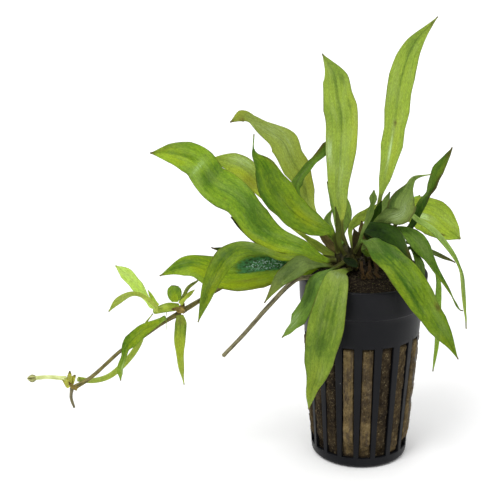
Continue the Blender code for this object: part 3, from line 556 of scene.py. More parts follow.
leaves = {
    "leaf_tall_right": dict(finish="leaf_bright", tone=0.57, petiole=0.2, dry=0.35, wave=0.35, waves=2.2,
        warm=0.25, sheen=0.25,
        spine=[seat("right", 60, 2), (5, 8.5, 97.5), (6, 9, 107), (8.5, 11, 118), (10.5, 13.5, 128.5),
        (12, 15.5, 139.5), (13, 17, 150), (15.5, 19, 160.5), (19, 20.5, 167.5), (27.5, 20, 178)],
        half=(0, 0, 0.3, 0.5, 2.3, 3.2, 4.4, 4.1, 5, 4.9, 5.2, 4.7, 3.5, 1.6, 0),
        face=(front, front, (0.3, -1, 0.1)),
        marks=[("brown", 0.52, 0, 1, 0.7, 0.9), ("deep", 0.78, 0, 14, 0.5, 0.65),
        ("deep", 0.62, -0.1, 10, 0.5, 0.45), ("warm", 0.42, 0.3, 14, 1.5, 0.5),
        ("sheen", 0.4, -0.1, 12, 0.8, 0.7), ("brown", 0.97, 0.9, 3, 2, 0.5)]),
    "leaf_tall_centre": dict(finish="leaf_bright", tone=0.55, petiole=0.15, dry=0.3, wave=0.45, waves=2.6,
        warm=0.25, sheen=0.3,
        spine=[seat("left", 75, 2), (-9.5, 4, 94), (-10, 6, 102.5), (-11, 8, 111.5), (-10.5, 10, 120.5),
        (-10, 12, 130), (-10, 14, 138.5), (-11.5, 15.5, 147), (-13, 16.5, 155), (-18, 16, 164)],
        half=(0, 0, 0.6, 2.5, 3.6, 4.4, 5.2, 6, 6.2, 6.3, 6.7, 5.6, 5.1, 2.3, 0),
        marks=[("deep", 0.85, 0.5, 2.2, 1, 0.8), ("deep", 0.72, 0.6, 2.5, 0.8, 0.7),
        ("deep", 0.6, 0, 16, 0.6, 0.55), ("warm", 0.6, 0.8, 14, 1.6, 0.8), ("sheen", 0.5, -0.8, 8, 2, 0.6),
        ("deep", 0.8, -0.1, 14, 0.5, 0.55), ("sheen", 0.38, 0.2, 11, 2, 0.4),
        ("warm", 0.15, 0.4, 8, 1.5, 0.6), ("deep", 0.3, -0.2, 12, 0.6, 0.5)]),
    "leaf_back_left": dict(finish="leaf_pale", tone=0.46, petiole=0.25, wave=0.5, waves=2.4, warm=0.3,
        sheen=0.3,
        spine=[seat("left", 140, 2), (-15.5, 3.5, 93.5), (-20.5, 6, 100), (-23.5, 10, 106.5),
        (-26, 13.5, 114.5), (-30, 16, 121.5), (-33.5, 18, 128), (-41, 19, 133), (-48.5, 17.5, 138.5),
        (-54.5, 13, 137)],
        half=(1.4, 1.4, 1.4, 1.2, 2, 3.8, 4.1, 5.5, 5.1, 5.9, 4.1, 2.9, 1.7, 2.4, 0),
        marks=[("deep", 0.55, 0, 10, 0.7, 0.65), ("deep", 0.39, 0, 9, 0.7, 0.6),
        ("brown", 0.93, -0.7, 1.8, 1.4, 0.7), ("warm", 0.94, 0.6, 4, 3, 0.6),
        ("sheen", 0.72, 0.2, 12, 4, 0.5), ("warm", 0.44, 0.7, 8, 2.2, 0.8),
        ("brown", 0.48, 0.9, 2.5, 0.8, 0.35)]),
    "leaf_left_upright": dict(finish="leaf_fresh", tone=0.53, petiole=0.17, dry=0.35, wave=0.35,
        spine=[seat("left", 200, 2), (-14, -3.5, 96), (-19, -5.5, 99), (-24.5, -7.5, 102.5), (-30, -9, 107),
        (-34, -10, 112), (-38, -11, 117.5), (-41.5, -12, 126), (-45, -12, 131), (-45, -12, 138.5)],
        half=(0, 0.1, 1, 3.1, 4.7, 5.2, 6.3, 6, 7, 6.6, 5.5, 4.3, 1.7, 0, 0), face=((0.3, -1, 0.5),),
        marks=[("deep", 0.7, -0.9, 14, 1.2, 0.8), ("warm", 0.33, 0.1, 7, 3, 0.8),
        ("warm", 0.46, 0.2, 8, 2, 0.5), ("deep", 0.6, 0, 12, 2.5, 0.35), ("sheen", 0.31, 0.6, 8, 1.5, 0.5),
        ("brown", 0.8, 0.9, 4, 0.6, 0.6)]),
    "leaf_left_large": dict(finish="leaf_fresh", tone=0.72, petiole=0.15, wave=0.55, waves=2.6, sheen=0.1,
        spine=[seat("left", 208, 1), (-17.5, -6, 85.5), (-25.5, -10.5, 92), (-36.5, -14, 97),
        (-44.7, -16.5, 104.8), (-51.7, -18.5, 114.8), (-60.5, -20.5, 121.5), (-66.5, -22, 130),
        (-74, -23, 133.5), (-84, -23, 134)],
        half=(0, 1.8, 2.5, 3.4, 4.5, 5.7, 6.8, 6.4, 6.6, 7.4, 6.6, 6.4, 5.7, 3.4, 0),
        face=((0.4, -1, 0.6), (0.4, -1, 0.6), (0.1, -1, 0.5)),
        # the sheen band near its tip is a painted highlight on a fold, and the deep mark just before it is
        # painted shade
        marks=[("sheen", 0.79, -0.1, 1.8, 6, 0.68), ("sheen", 0.75, -0.8, 3, 3, 0.4),
        ("deep", 0.725, 0.1, 3.5, 5, 0.85), ("warm", 0.89, -0.2, 7, 4, 0.7),
        ("brown", 0.95, 0.7, 6, 1.2, 0.35), ("deep", 0.88, 0.1, 7, 0.8, 0.6),
        ("sheen", 0.62, 0.3, 9, 3, 0.3), ("deep", 0.46, 0.2, 12, 4, 0.75), ("warm", 0.36, -0.8, 12, 1.8, 1),
        ("sheen", 0.24, 0.7, 4, 1.5, 0.5), ("brown", 0.62, -0.4, 0.8, 0.5, 0.6)]),
    "leaf_left_rounded": dict(finish="leaf_pale", tone=0.68, petiole=0.35, dry=0.4, wave=0.4, warm=0.2,
        sheen=0.1,
        spine=[seat("left", 160, 1), (-18.5, 2.5, 88), (-25, 2.5, 93), (-30.5, 3.5, 97.5), (-35.5, 5, 103),
        (-39.5, 6, 109), (-44, 7, 114.5), (-49.5, 6.5, 120), (-55.5, 5, 123), (-62.5, 2, 125)],
        half=(1.6, 1.6, 1.6, 0.7, 0.9, 1.1, 1.3, 2.1, 3.2, 4.2, 4.4, 4.5, 4, 2, 0), face=((0.2, -1, 0.3),),
        marks=[("brown", 0.68, -0.5, 4.5, 2.5, 0.4), ("warm", 0.71, -0.8, 9, 4, 0.8),
        ("sheen", 0.8, 0.5, 8, 2.5, 0.8), ("deep", 0.76, 0.2, 5, 0.8, 0.5)]),
    "leaf_narrow_dark": dict(finish="leaf_deep", tone=0.56, petiole=0.45, dry=1.0, wave=0.3,
        spine=[seat("left", 145, 3), (-15, 1.5, 95), (-20.5, 3, 100.5), (-26, 4.5, 106.5), (-28, 7.5, 112.5),
        (-23.5, 9, 119.5), (-18, 12, 124.5), (-13, 14, 130)],
        half=(1.4, 1.4, 1.4, 0.5, 0.7, 0.9, 1, 1, 2.5, 1.7, 1.8, 1.4, 1.9, 2.3, 0), face=((0.5, -0.7, 0.5),),
        marks=[("brown", 0.88, -0.9, 5, 1, 0.95), ("warm", 0.84, -0.7, 4, 1, 0.5),
        ("sheen", 0.69, 0, 8, 0.4, 0.5)]),
    "leaf_left_arching": dict(finish="leaf_fresh", tone=0.38, petiole=0.15, dry=0.4, wave=0.4, waves=2.6,
        warm=0.1,
        spine=[seat("left", 213, 0), (-19.5, -11.5, 86.5), (-27, -15.5, 90), (-34.5, -20, 91.5),
        (-41.5, -22.5, 95), (-49.5, -27, 97), (-56, -31, 94.5), (-61, -32, 86), (-64, -31.5, 77),
        (-66.5, -30, 68.5)],
        half=(0, 0.8, 1.2, 1.4, 1.8, 1.7, 1.4, 2.7, 3.7, 4.7, 4.2, 3.6, 2.7, 1.4, 0),
        face=((-0.2, -0.7, 0.9), (-0.3, -0.8, 0.7), (-0.7, -0.8, 0.2)),
        marks=[("deep", 0.64, 0.3, 5, 2, 0.6), ("warm", 0.78, -0.3, 9, 2, 0.7),
        ("sheen", 0.48, 0.6, 9, 2.5, 0.7), ("deep", 0.86, 0.1, 8, 1.5, 0.5), ("brown", 0.66, 1, 6, 0.6, 0.5),
        ("warm", 0.35, 0.3, 8, 2, 0.5)]),
    "leaf_left_low": dict(finish="leaf_fresh", tone=0.62, petiole=0.14, dry=0.6, wave=0.4, warm=0.3,
        spine=[seat("left", 189, 0), (-21, -5, 82.5), (-28.5, -8, 82.5), (-36, -10, 83.5),
        (-44, -12.5, 83.5), (-51.5, -14.5, 83), (-60, -15.5, 83.5), (-68.5, -16, 86.5), (-74.5, -15.5, 85.5),
        (-82, -15, 82)],
        half=(0, 0.9, 3.2, 4.7, 4.9, 6.2, 7.6, 7.7, 7.5, 6.3, 6, 4.5, 3.8, 1.7, 0), face=((0, -0.8, 0.6),),
        marks=[("wet", 0.43, 0.3, 10, 3.3, 1), ("wet", 0.33, 0.35, 5, 2.4, 0.6),
        ("brown", 0.41, -1, 9, 1.2, 0.6), ("brown", 0.51, -0.5, 7, 0.45, 0.5),
        ("warm", 0.53, -0.7, 12, 2.5, 0.8), ("deep", 0.86, 0.3, 7, 2, 0.6),
        ("warm", 0.75, -0.2, 5, 2, 0.6)]),
    "leaf_under_large": dict(finish="leaf_dark", tone=0.1, petiole=0.3, width=8, dry=0.3, wave=0.25,
        spine=[seat("left", 180, 1), (-23, -1, 86), (-35, -3, 90), (-45, -6, 97), (-54, -8, 104)],
        face=((0.3, -0.8, 0.5),)),
    "leaf_behind_arching": dict(finish="leaf_dark", tone=0.1, petiole=0.3, width=6, dry=1.0, wave=0.3,
        spine=[seat("left", 165, 0), (-26, 1, 84), (-42, 1, 86), (-53, 0, 87), (-62, -1, 89)],
        face=((0, -0.5, 0.9),)),
    "leaf_front_left_small": dict(finish="leaf_dull", tone=0.34, petiole=0.25, dry=0.8, wave=0.3, waves=1.6,
        spine=[seat("left", 237, 0), (-16.5, -11.5, 85), (-22, -17, 87.5), (-26, -20.5, 89),
        (-30, -23.5, 87), (-34.5, -26, 84.5), (-37.5, -27.5, 81), (-41, -29, 76)],
        half=(0, 0.4, 0.9, 1.4, 2.5, 4, 4.2, 3.6, 2.4, 1.1, 0), face=((-0.2, -0.7, 0.9), (-0.4, -0.8, 0.5)),
        marks=[("sheen", 0.51, 0, 8, 3, 0.4), ("deep", 0.7, 0.2, 6, 2, 0.5), ("warm", 0.88, 0.2, 6, 3, 0.6),
        ("brown", 0.95, 1, 5, 1, 0.5)]),
    "leaf_front_left_dark": dict(finish="leaf_deep", tone=0.66, petiole=0.25, wave=0.3, sheen=0.25,
        spine=[seat("left", 258, 1), (-13, -11, 84), (-15.5, -16.5, 84.5), (-20.5, -21, 82.5),
        (-23, -23.5, 76.5), (-26, -24.5, 70.5), (-29.5, -25, 65), (-34, -25, 60)],
        half=(0, 0, 0, 0.2, 1, 1.9, 2.8, 3.2, 2.9, 2.7, 3, 3.2, 1.6, 1.2, 0),
        face=((-0.2, -0.7, 0.9), (-0.4, -1, 0.3)),
        marks=[("deep", 0.14, 0, 9, 4, 1), ("deep", 0.56, 0.3, 5, 1.5, 0.8), ("sheen", 0.82, 0.3, 6, 2, 0.6),
        ("warm", 0.98, 0.3, 5, 3, 0.5)]),
    "leaf_front_large": dict(finish="leaf_bright", tone=0.38, petiole=0.12, dry=0.35, wave=0.5, waves=2.4,
        spine=[seat("left", 285, 0), (-10.5, -13.5, 83), (-12.5, -21.5, 84), (-14.5, -28, 80),
        (-16.5, -32, 73), (-18, -33.5, 65), (-19.5, -34, 57), (-20.5, -33.5, 48.5), (-22.5, -32.5, 40.5),
        (-23.5, -32, 32.5)],
        half=(0, 1.3, 2.6, 4, 5, 5.7, 6.4, 6.9, 6.7, 6, 5.5, 4.1, 2.6, 1.6, 0),
        face=((0, -0.6, 1), (0, -1, 0.3), (0, -1, 0.1)),
        marks=[("deep", 0.46, 0.3, 10, 0.9, 0.6), ("deep", 0.44, -0.3, 11, 0.8, 0.55),
        ("deep", 0.62, 0.1, 4, 2.2, 0.6), ("sheen", 0.18, 0, 7, 5, 0.85), ("warm", 0.84, 0.1, 9, 3, 0.4),
        ("sheen", 0.32, -0.8, 6, 1.2, 0.5)]),
    "leaf_right_front": dict(finish="leaf_fresh", tone=0.45, petiole=0.15, wave=0.4, waves=2.4,
        spine=[seat("right", 235, 1), (-1.5, -5, 89), (0, -12.5, 95.5), (4.5, -20, 93.5), (10, -26, 89.5),
        (15.5, -29.5, 83), (20.5, -30.5, 75.5), (25.5, -31, 68), (30.5, -30.5, 60.5), (34.5, -30, 53)],
        half=(0, 1.7, 2.3, 3.2, 3.7, 5.8, 5.5, 6.4, 6.2, 5.9, 4.9, 4.6, 3.2, 1.4, 0),
        face=((0.2, -0.7, 0.9), (0.4, -1, 0.5), (0.4, -1, 0.3)),
        # the deep marks near its foot paint the shade where it comes out from under leaf_right_dark
        marks=[("brown", 0.72, -0.8, 2.2, 1.1, 0.8), ("deep", 0.16, 0, 12, 6, 0.7),
        ("deep", 0.27, -0.4, 9, 4, 0.8), ("deep", 0.49, 0.3, 12, 0.9, 0.6), ("deep", 0.3, 0.7, 9, 2, 0.6),
        ("deep", 0.62, 0.4, 9, 0.8, 0.5), ("warm", 0.5, 0.7, 10, 2, 0.45), ("sheen", 0.22, 0, 8, 3, 0.6),
        ("sheen", 0.78, -0.4, 7, 1.3, 0.5), ("warm", 0.9, 0.5, 6, 2, 0.5),
        ("deep", 0.38, -0.6, 8, 1.6, 0.8)]),
    "leaf_right_dark": dict(finish="leaf_dark", tone=0.08, petiole=0.25, dry=0.3, wave=0.4, waves=1.8,
        spine=[seat("right", 262, 2), (2, 0.5, 92), (-1, -1, 97), (2.5, -4, 97.5), (7, -7, 96.5),
        (11, -10.5, 94), (14, -13.5, 91), (17.5, -15, 87.5)],
        half=(0, 0.6, 1.3, 2, 3.4, 4.4, 5.3, 4.7, 3, 1.9, 0), face=((0.3, -0.8, 0.8),),
        marks=[("brown", 0.89, -1, 3, 1.4, 0.6), ("deep", 0.51, 0.3, 6, 3, 0.6),
        ("sheen", 0.76, -0.6, 5, 1.5, 0.5), ("sheen", 0.74, -1, 9, 0.4, 0.9)]),
    # inner_teal's tone below zero paints the shade deep in the crown; its sheen mark is a painted highlight
    # on one edge
    "leaf_inner_teal": dict(finish="leaf_dark", tone=-0.22, petiole=0.3, width=4, dry=0.2, wave=0.1,
        waves=1.5,
        spine=[seat("left", 320, 1), (-8, -9, 87), (-6, -12, 86), (-4, -14, 85)],
        face=((0, -0.6, 0.9),),
        marks=[("sheen", 0.85, -1, 4, 0.5, 0.9)]),
    "leaf_right_tailed": dict(finish="leaf_deep", tone=0.46, petiole=0.15, dry=0.6, wave=0.3,
        spine=[seat("right", 325, 2), (12.5, 2, 95.5), (17.5, 0, 94), (23.5, -2.5, 87.5), (28, -5, 80.5),
        (33, -7, 73), (37.5, -7.5, 65), (39, -8, 64.5)],
        half=(0, 0.6, 0.8, 1.6, 3.4, 4.2, 3.9, 2.6, 1.9, 1.4, 1, 0.7, 0.2, 0.6, 0), face=((0.5, -0.9, 0.6),),
        marks=[("warm", 0.71, 1, 8, 1, 0.7), ("sheen", 0.41, -0.1, 6, 2, 0.6),
        ("warm", 0.85, 1, 8, 1, 0.6)]),
    "leaf_right_long": dict(finish="leaf_dull", tone=1.12, petiole=0.2, waves=3.0,
        spine=[seat("right", 15, 2), (12, 6.5, 95.5), (15, 7, 102), (21.5, 6, 98), (27, 4.5, 94.5),
        (35, 2.5, 85.5), (38.5, 1.5, 79), (40, 0.5, 70), (41, 0, 61.5), (42, 0, 53.5)],
        half=(0, 0, 0.3, 0.4, 1.4, 1.5, 1.8, 1.7, 1.3, 0.7, 1.4, 1.5, 1.3, 0.6, 0),
        face=((0.3, -0.6, 0.8), (0.8, -0.6, 0.3)),
        marks=[("sheen", 0.39, -1, 8, 0.6, 0.6), ("warm", 0.8, 0.8, 12, 2, 0.6),
        ("deep", 0.7, -0.8, 8, 0.8, 0.6), ("brown", 0.99, 1, 3, 1, 1)]),
    "leaf_right_rounded": dict(finish="leaf_bright", tone=0.68, petiole=0.3, dry=0.4, wave=0.4, waves=1.8,
        warm=0.3,
        spine=[seat("right", 47, 0), (9.5, 12.5, 87.5), (9.5, 13.5, 95.5), (16, 16, 98), (22.5, 18.5, 97.5),
        (29, 19.5, 95), (35, 19, 90.5), (40.5, 17, 86.5)],
        half=(0, 0, 0, 0.1, 0.1, 1.5, 2.7, 4.5, 6.7, 7, 7.5, 6.9, 5.5, 3.5, 0),
        marks=[("brown", 0.86, 0.6, 1.3, 0.45, 1), ("sheen", 0.6, 0.2, 7, 1.2, 1),
        ("warm", 0.69, 0, 20, 8, 0.2), ("deep", 0.94, -0.1, 4, 2, 0.4), ("sheen", 0.8, -0.5, 8, 2, 0.35)]),
    "leaf_right_twisted": dict(finish="leaf_deep", tone=0.34, petiole=0.3, dry=0.4,
        spine=[seat("right", 40, 1), (14.5, 9, 90), (19.5, 9.5, 95.5), (22.5, 10.5, 102.5), (26.5, 12, 109),
        (29, 12, 116.5), (32, 12, 122), (34.5, 12, 127)],
        half=(0, 0.3, 0.6, 0.9, 1.2, 1.4, 1.8, 1.8, 1.1, 2.2, 2.4, 3, 2.2, 1.3, 0),
        face=((0.3, -1, 0.3), (-1, -0.6, 0.2)),
        marks=[("deep", 0.59, 1, 8, 1.5, 0.8), ("brown", 0.7, 1, 9, 0.9, 0.85),
        ("warm", 0.86, 0.4, 7, 1.2, 0.8), ("brown", 0.97, 0, 3.5, 1, 0.9),
        ("sheen", 0.62, -0.4, 5, 0.7, 0.4), ("deep", 0.3, 0, 8, 2, 0.6)]),
    "leaf_right_folded": dict(finish="leaf_dull", tone=0.58, petiole=0.15, wave=0.3, waves=1.6,
        spine=[seat("right", 265, 3), (5.5, 1.5, 97), (8, -0.5, 101.5), (13, -2, 104.5), (13.5, -2, 108),
        (16.5, 0.5, 114), (19, 4, 116.5), (26, 6, 117.5)],
        half=(0, 2.1, 3.2, 2.8, 4.6, 5.8, 4.3, 1.8, 1.1, 0.4, 0), face=((0, -1, 0.3), (0.3, -1, 0.2)),
        marks=[("sheen", 0.43, 0.2, 8, 3.4, 0.8), ("deep", 0.47, -1, 8, 1.7, 1),
        ("deep", 0.57, -0.8, 4, 1.5, 1), ("brown", 0.55, -1, 9, 0.4, 0.7),
        ("brown", 0.49, 0.95, 4, 0.8, 0.6), ("warm", 0.5, 0.6, 5, 1.4, 0.4)]),
    "leaf_right_hanging": dict(finish="leaf_deep", tone=1, petiole=0.3, width=3.5, waves=2.5, warm=0.3,
        sheen=0.2,
        spine=[seat("right", 0, 1), (14, 6, 91), (22, 6, 88), (29, 4, 78), (30, 2, 64), (30, 0, 49),
        (29, -1, 35)],
        face=((0.5, -0.8, 0.3),),
        marks=[("deep", 0.5, 0.8, 8, 0.6, 0.5), ("warm", 0.9, 0, 9, 2, 0.8)]),
    "leaf_right_short": dict(finish="leaf_dull", tone=0.26, petiole=0.3, width=3, dry=1.0, wave=0.15,
        spine=[seat("right", 20, 0), (15, 10.2, 87), (22, 12, 85.5), (31, 13, 81), (38, 12, 78)],
        face=((0.3, -0.6, 0.8),),
        marks=[("brown", 0.85, 0, 4, 0.7, 0.6), ("deep", 0.5, 0.8, 5, 0.4, 0.6)]),
    "leaf_right_rim": dict(finish="leaf_deep", tone=0.2, petiole=0.3, dry=0.4, waves=1.5,
        spine=[seat("right", 340, 0), (15, 1.5, 85.5), (18, 0, 88.5), (20.5, -4.5, 85), (21.5, -10.5, 82),
        (22.5, -14, 79.5)],
        half=(0, 0.2, 0.4, 0.6, 0.8, 1.2, 1.7, 1.9, 1.5, 0.8, 0), face=((0.2, -0.8, 0.8),)),
    "leaf_left_rim": dict(finish="leaf_dark", tone=0.4, petiole=0.2, width=5, dry=0.3, waves=1.5,
        spine=[seat("left", 141, 0), (-16, 4, 82), (-21, 4, 81), (-26, 3.5, 80.5)],
        face=((0, -0.5, 0.9),)),
    "leaf_back_tip": dict(finish="leaf_dull", tone=0.6, petiole=0.3, width=4, wave=0.15, waves=1.5,
        spine=[seat("right", 90, 1), (4, 13, 94), (8, 17, 100), (11, 20, 106)]),
    "leaf_back_light": dict(finish="leaf_bright", tone=0.95, petiole=0.3, width=5, dry=0.3, wave=0.15,
        waves=1.5,
        spine=[seat("right", 73, 0), (8, 15.5, 92.5), (16, 20, 98), (24, 25, 103)]),
    "leaf_centre_narrow": dict(finish="leaf_dull", tone=0.45, petiole=0.2, dry=0.3, wave=0.15, waves=1.5,
        spine=[seat("left", 350, 2), (-3, -4.5, 92), (-2, -6.5, 97.5), (0, -7, 103), (1.5, -7, 109),
        (2, -6, 114.5)],
        half=(0, 0, 0.1, 0.3, 0.4, 0.8, 1.2, 1.5, 0.8, 1.8, 0), face=((-0.4, -1, 0.2),)),
    "leaf_centre_dark": dict(finish="leaf_dark", tone=0.02, petiole=0.2, width=4, dry=0.3, wave=0.15,
        waves=1.5,
        spine=[seat("right", 180, 2), (0, 3, 95), (4, 4, 101), (6, 4, 107)]),
    "leaf_back_small": dict(finish="leaf_pale", tone=0.5, petiole=0.2, dry=0.3, waves=1.5,
        spine=[seat("left", 40, 1), (-5.5, 4, 89.5), (-6, 7, 94), (-3, 11, 96.5), (1, 13, 99),
        (5.5, 14, 102.5)],
        half=(0, 0.2, 0.4, 0.7, 1, 1.6, 2.1, 2.1, 1.6, 1.3, 0), face=((0.3, -0.8, 0.5),)),
    # leaf_new's low tone paints the shade that it stands in
    "leaf_new": dict(finish="leaf_pale", tone=-0.08, petiole=0.1, width=2.3, dry=0.1, wave=0.05, waves=1.0,
        spine=[seat("left", 260, 2), (-11, -6, 92), (-12, -7, 102), (-13, -7, 108)]),
    "leaf_back_grey": dict(finish="leaf_dull", tone=0.72, petiole=0.2, width=3.5, dry=0.4, wave=0.15,
        waves=1.5,
        spine=[seat("left", 108, 1), (-13, 8, 91), (-15, 12, 96), (-13, 15, 100)]),
    "leaf_behind_tall": dict(finish="leaf_dull", tone=1, petiole=0.2, width=8, dry=0.6, wave=0.3, waves=2.2,
        spine=[seat("left", 78, 1), (-9.5, 7, 92), (-9, 12, 99), (-11, 16, 105), (-15, 18, 111)]),
    "plantlet_leaf_round": dict(finish="leaf_fresh", tone=0.64, petiole=0.0, dry=0.2, wave=0.1, waves=1.0,
        tender=1,
        spine=[(-76.3, -13.4, 70.6), (-76.3, -14, 74), (-76.2, -15, 78)],
        half=(1.1, 2.1, 2.6, 2.8, 2.8, 2.5, 1.4),
        marks=[("warm", 0.25, 0, 2, 1.5, 0.8), ("deep", 0.8, 0.5, 1.5, 1, 0.6)]),
    "plantlet_leaf_short": dict(finish="leaf_pale", tone=0.45, petiole=0.3, width=1.7, dry=0.4, wave=0.1,
        waves=1.0, warm=0.3, tender=1,
        spine=[(-74.1, -14.1, 70), (-71, -14.6, 73.6), (-68.4, -14.8, 76.1)]),
    "plantlet_leaf_bright": dict(finish="leaf_bright", tone=0.98, petiole=0.35, dry=0.3, waves=1.6, warm=0.5,
        sheen=0.6, tender=1,
        spine=[(-84, -14, 69.4), (-84.5, -15, 69), (-88.5, -15.5, 74.5), (-91.5, -16, 79),
        (-95, -16.5, 83.5), (-99, -17, 87)],
        half=(0, 1.5, 1, 1.4, 2, 2.4, 2.2, 2.4, 2.4, 1.4, 0)),
    "plantlet_leaf_arching": dict(finish="leaf_pale", tone=0.5, petiole=0.25, wave=0.15, warm=0.3, sheen=0.3,
        tender=1,
        spine=[(-83.5, -17.4, 68), (-83.5, -18, 70.5), (-89, -19.5, 75.5), (-93, -22, 77),
        (-98, -23.5, 74.5), (-101.5, -24, 70.5)],
        half=(0, 0, 0.2, 0.5, 0.8, 0.9, 1.1, 1.4, 1.5, 0.9, 0), face=((0, -0.8, 0.8), (-0.6, -0.8, 0.3))),
    "plantlet_spike": dict(finish="leaf_pale", tone=0.8, petiole=0.1, width=1.5, dry=0.3, wave=0.05,
        waves=1.0, tender=1,
        spine=[(-83.3, -13, 68.6), (-85.2, -12, 71.5), (-86.9, -11.6, 74.7)]),
    "plantlet_leaf_folded": dict(finish="leaf_fresh", tone=0.54, petiole=0.1, dry=0.6, tender=1,
        spine=[(-80, -15, 64.5), (-84, -15, 62), (-88.5, -15.5, 59.5), (-93, -15.5, 55.5), (-96, -15.5, 52),
        (-97, -15.5, 47.5), (-98.5, -16, 43), (-98.5, -16, 37.5)],
        half=(0, 1.2, 1.9, 2.5, 2.6, 2.7, 1.6, 1.1, 1.3, 1.3, 0), face=((0, -1, 0.5), (-0.4, -1, 0.1)),
        marks=[("deep", 0.5, 0.9, 5, 0.8, 0.4), ("warm", 0.5, -0.5, 4, 1, 0.5),
        ("sheen", 0.85, -1, 6, 2, 0.8), ("warm", 0.25, 0, 8, 2, 0.6)]),
    "plantlet_leaf_hanging": dict(finish="leaf_bright", tone=0.48, petiole=0.0, warm=0.3, tender=1,
        spine=[(-74.3, -14.6, 65.2), (-74, -14.5, 62), (-74.5, -14.5, 55), (-74.5, -15, 49),
        (-74, -15.5, 42.5), (-73, -16.5, 36)],
        half=(1.3, 2.3, 2.3, 2.3, 2.2, 1.7, 1.4, 1.3, 1, 0.4, 0), face=((0, -1, 0.2),),
        marks=[("deep", 0.23, -0.8, 2.5, 0.7, 0.9), ("deep", 0.2, 0.8, 2.5, 0.6, 0.7),
        ("warm", 0.61, 0.1, 12, 3, 0.6), ("brown", 0.08, 0, 2, 2, 0.5)]),
    "plantlet_strap": dict(finish="leaf_pale", tone=0.62, petiole=0.1, dry=0.3, wave=0.12, waves=3.0,
        warm=0.2, sheen=0.2, tender=1,
        spine=[(-115.5, -17.5, 38.9), (-110, -13, 36.2), (-104, -10.3, 36.8), (-98.5, -9.2, 41),
        (-93.5, -8.8, 47), (-90.3, -9.3, 53), (-88.6, -10.6, 59.5), (-85.2, -13.2, 65.3)],
        half=(0.7, 0.8, 1, 1.1, 1.2, 1.2, 1.2, 1, 0.7, 0.4, 0)),
    "sheath_left": dict(finish="sheath", tone=0.05, petiole=0.1, waves=1.0,
        spine=[seat("left", 8, 1), (-3, 0, 89.5), (-3.8, 0.2, 93), (-5, 0.5, 96.5)],
        half=(0.9, 1.6, 2.3, 2.2, 1.5, 0)),
    "sheath_back": dict(finish="sheath", tone=1, petiole=0.1, waves=1.0,
        spine=[seat("left", 172, 2), (-13.8, -0.8, 89.4), (-16.5, -0.4, 92.4), (-19.5, 0.5, 96)],
        half=(0.9, 1.3, 1.6, 1.5, 1, 0)),
    "sheath_right": dict(finish="sheath", tone=1.3, petiole=0.1, waves=1.0,
        spine=[seat("right", 150, 1), (0.3, 7, 90), (-1, 6.5, 94), (-1.5, 6, 98)],
        half=(1.3, 2, 2.3, 2.2, 1.4, 0)),
}


def makeLeaves():
    for count, (node, spec) in enumerate(leaves.items()):
        finish = spec["finish"]
        shape = leafShape(spec, 1.7 * count + 0.4)
        addPiece(node.replace("leaf_", "") + "_blade", shape, leafMaterials[finish], node)


makeLeaves()
print("leaves made")


# The pot: a slotted net pot with a plain rim band, in slightly bluish black plastic
potSizes = {"height": 78.5, "foot": 19.6, "flare": 0.072, "wall": 1.2, "floor": 1.6, "footRounding": 1.8,
            "lipHeight": 11.3, "lipRadius": 26.0, "lipTaper": 0.5, "lipRounding": 0.6, "lipEdge": 0.3,
            "slots": 18, "slotWidth": 4.9, "slotBottom": 4.4, "slotTop": 54.0, "firstSlot": -87.5,
            "slotCorner": 0.55, "edge": 0.22, "holes": 6, "holeRadius": 2.0, "holeRing": 11.0,
            "holeSides": 28, "mouthRadius": 24.2, "mouthEdge": 24.85, "mouthRounding": 0.45,
            "footRows": [3.2], "outerRows": [56.0, 60.0, 64.0], "innerRows": [57.0, 61.0], "slotRows": 13,
            "sharpFrom": 4.0, "sharpTo": 54.5, "sharpAngle": 0.9, "smooth": 38.0}
slotStep = 360.0 / potSizes["slots"]
potLook = {"colour": (0.0055, 0.0058, 0.0075), "dusty": (0.022, 0.022, 0.023), "speck": (0.16, 0.16, 0.15),
           "rough": 0.4, "gloss": 0.12}
# the columns of verts in one slot and the rib after it, at shares of half the slot and of the whole rib
slotColumns = (-1.0, -0.5, 0.0, 0.5, 1.0)
ribColumns = (0.08, 0.29, 0.5, 0.71, 0.92)


def bodyRadius(height):
    return potSizes["foot"] + potSizes["flare"] * height


def innerRadius(height):
    return bodyRadius(height) - potSizes["wall"]


def arcPoints(radius, height, size, start, end, count):
    angles = [math.radians(start + (end - start) * i / count) for i in range(count + 1)]
    return [(radius + size * math.cos(angle), height + size * math.sin(angle)) for angle in angles]


def potMaterial():
    material = newMaterial("pot_plastic")
    place = objectPlace(material.node_tree)
    broad = noiseValue(place, 45.0)
    fine = noiseValue(place, 900.0)
    drag = noiseValue(stretch(place, 0.12), 420.0, 4.0, 0.6)
    tint = addValue(place.tree, "ShaderNodeSeparateColor", {}, {0: cellValue(place, 320.0, "Color")})
    speck = between(cellValue(place, 320.0), 0.05, 0.09, 1.0, 0.0) * between(tint, 0.9, 0.93)
    scuff = between(drag, 0.62, 0.75) * between(broad, 0.45, 0.65)
    dust = between(broad, 0.4, 0.75) * 0.25 + scuff * 0.3
    colour = mixColour(speck, mixColour(dust, potLook["colour"], potLook["dusty"]), potLook["speck"])
    rough = (broad - 0.5) * 0.22 + potLook["rough"] + scuff * 0.2 + speck * 0.3
    normal = bumpNormal(fine * 0.5 + speck * 0.6, 0.25, 0.00012)
    closeTree(addSkin(colour, rough, potLook["gloss"], normal))
    return material


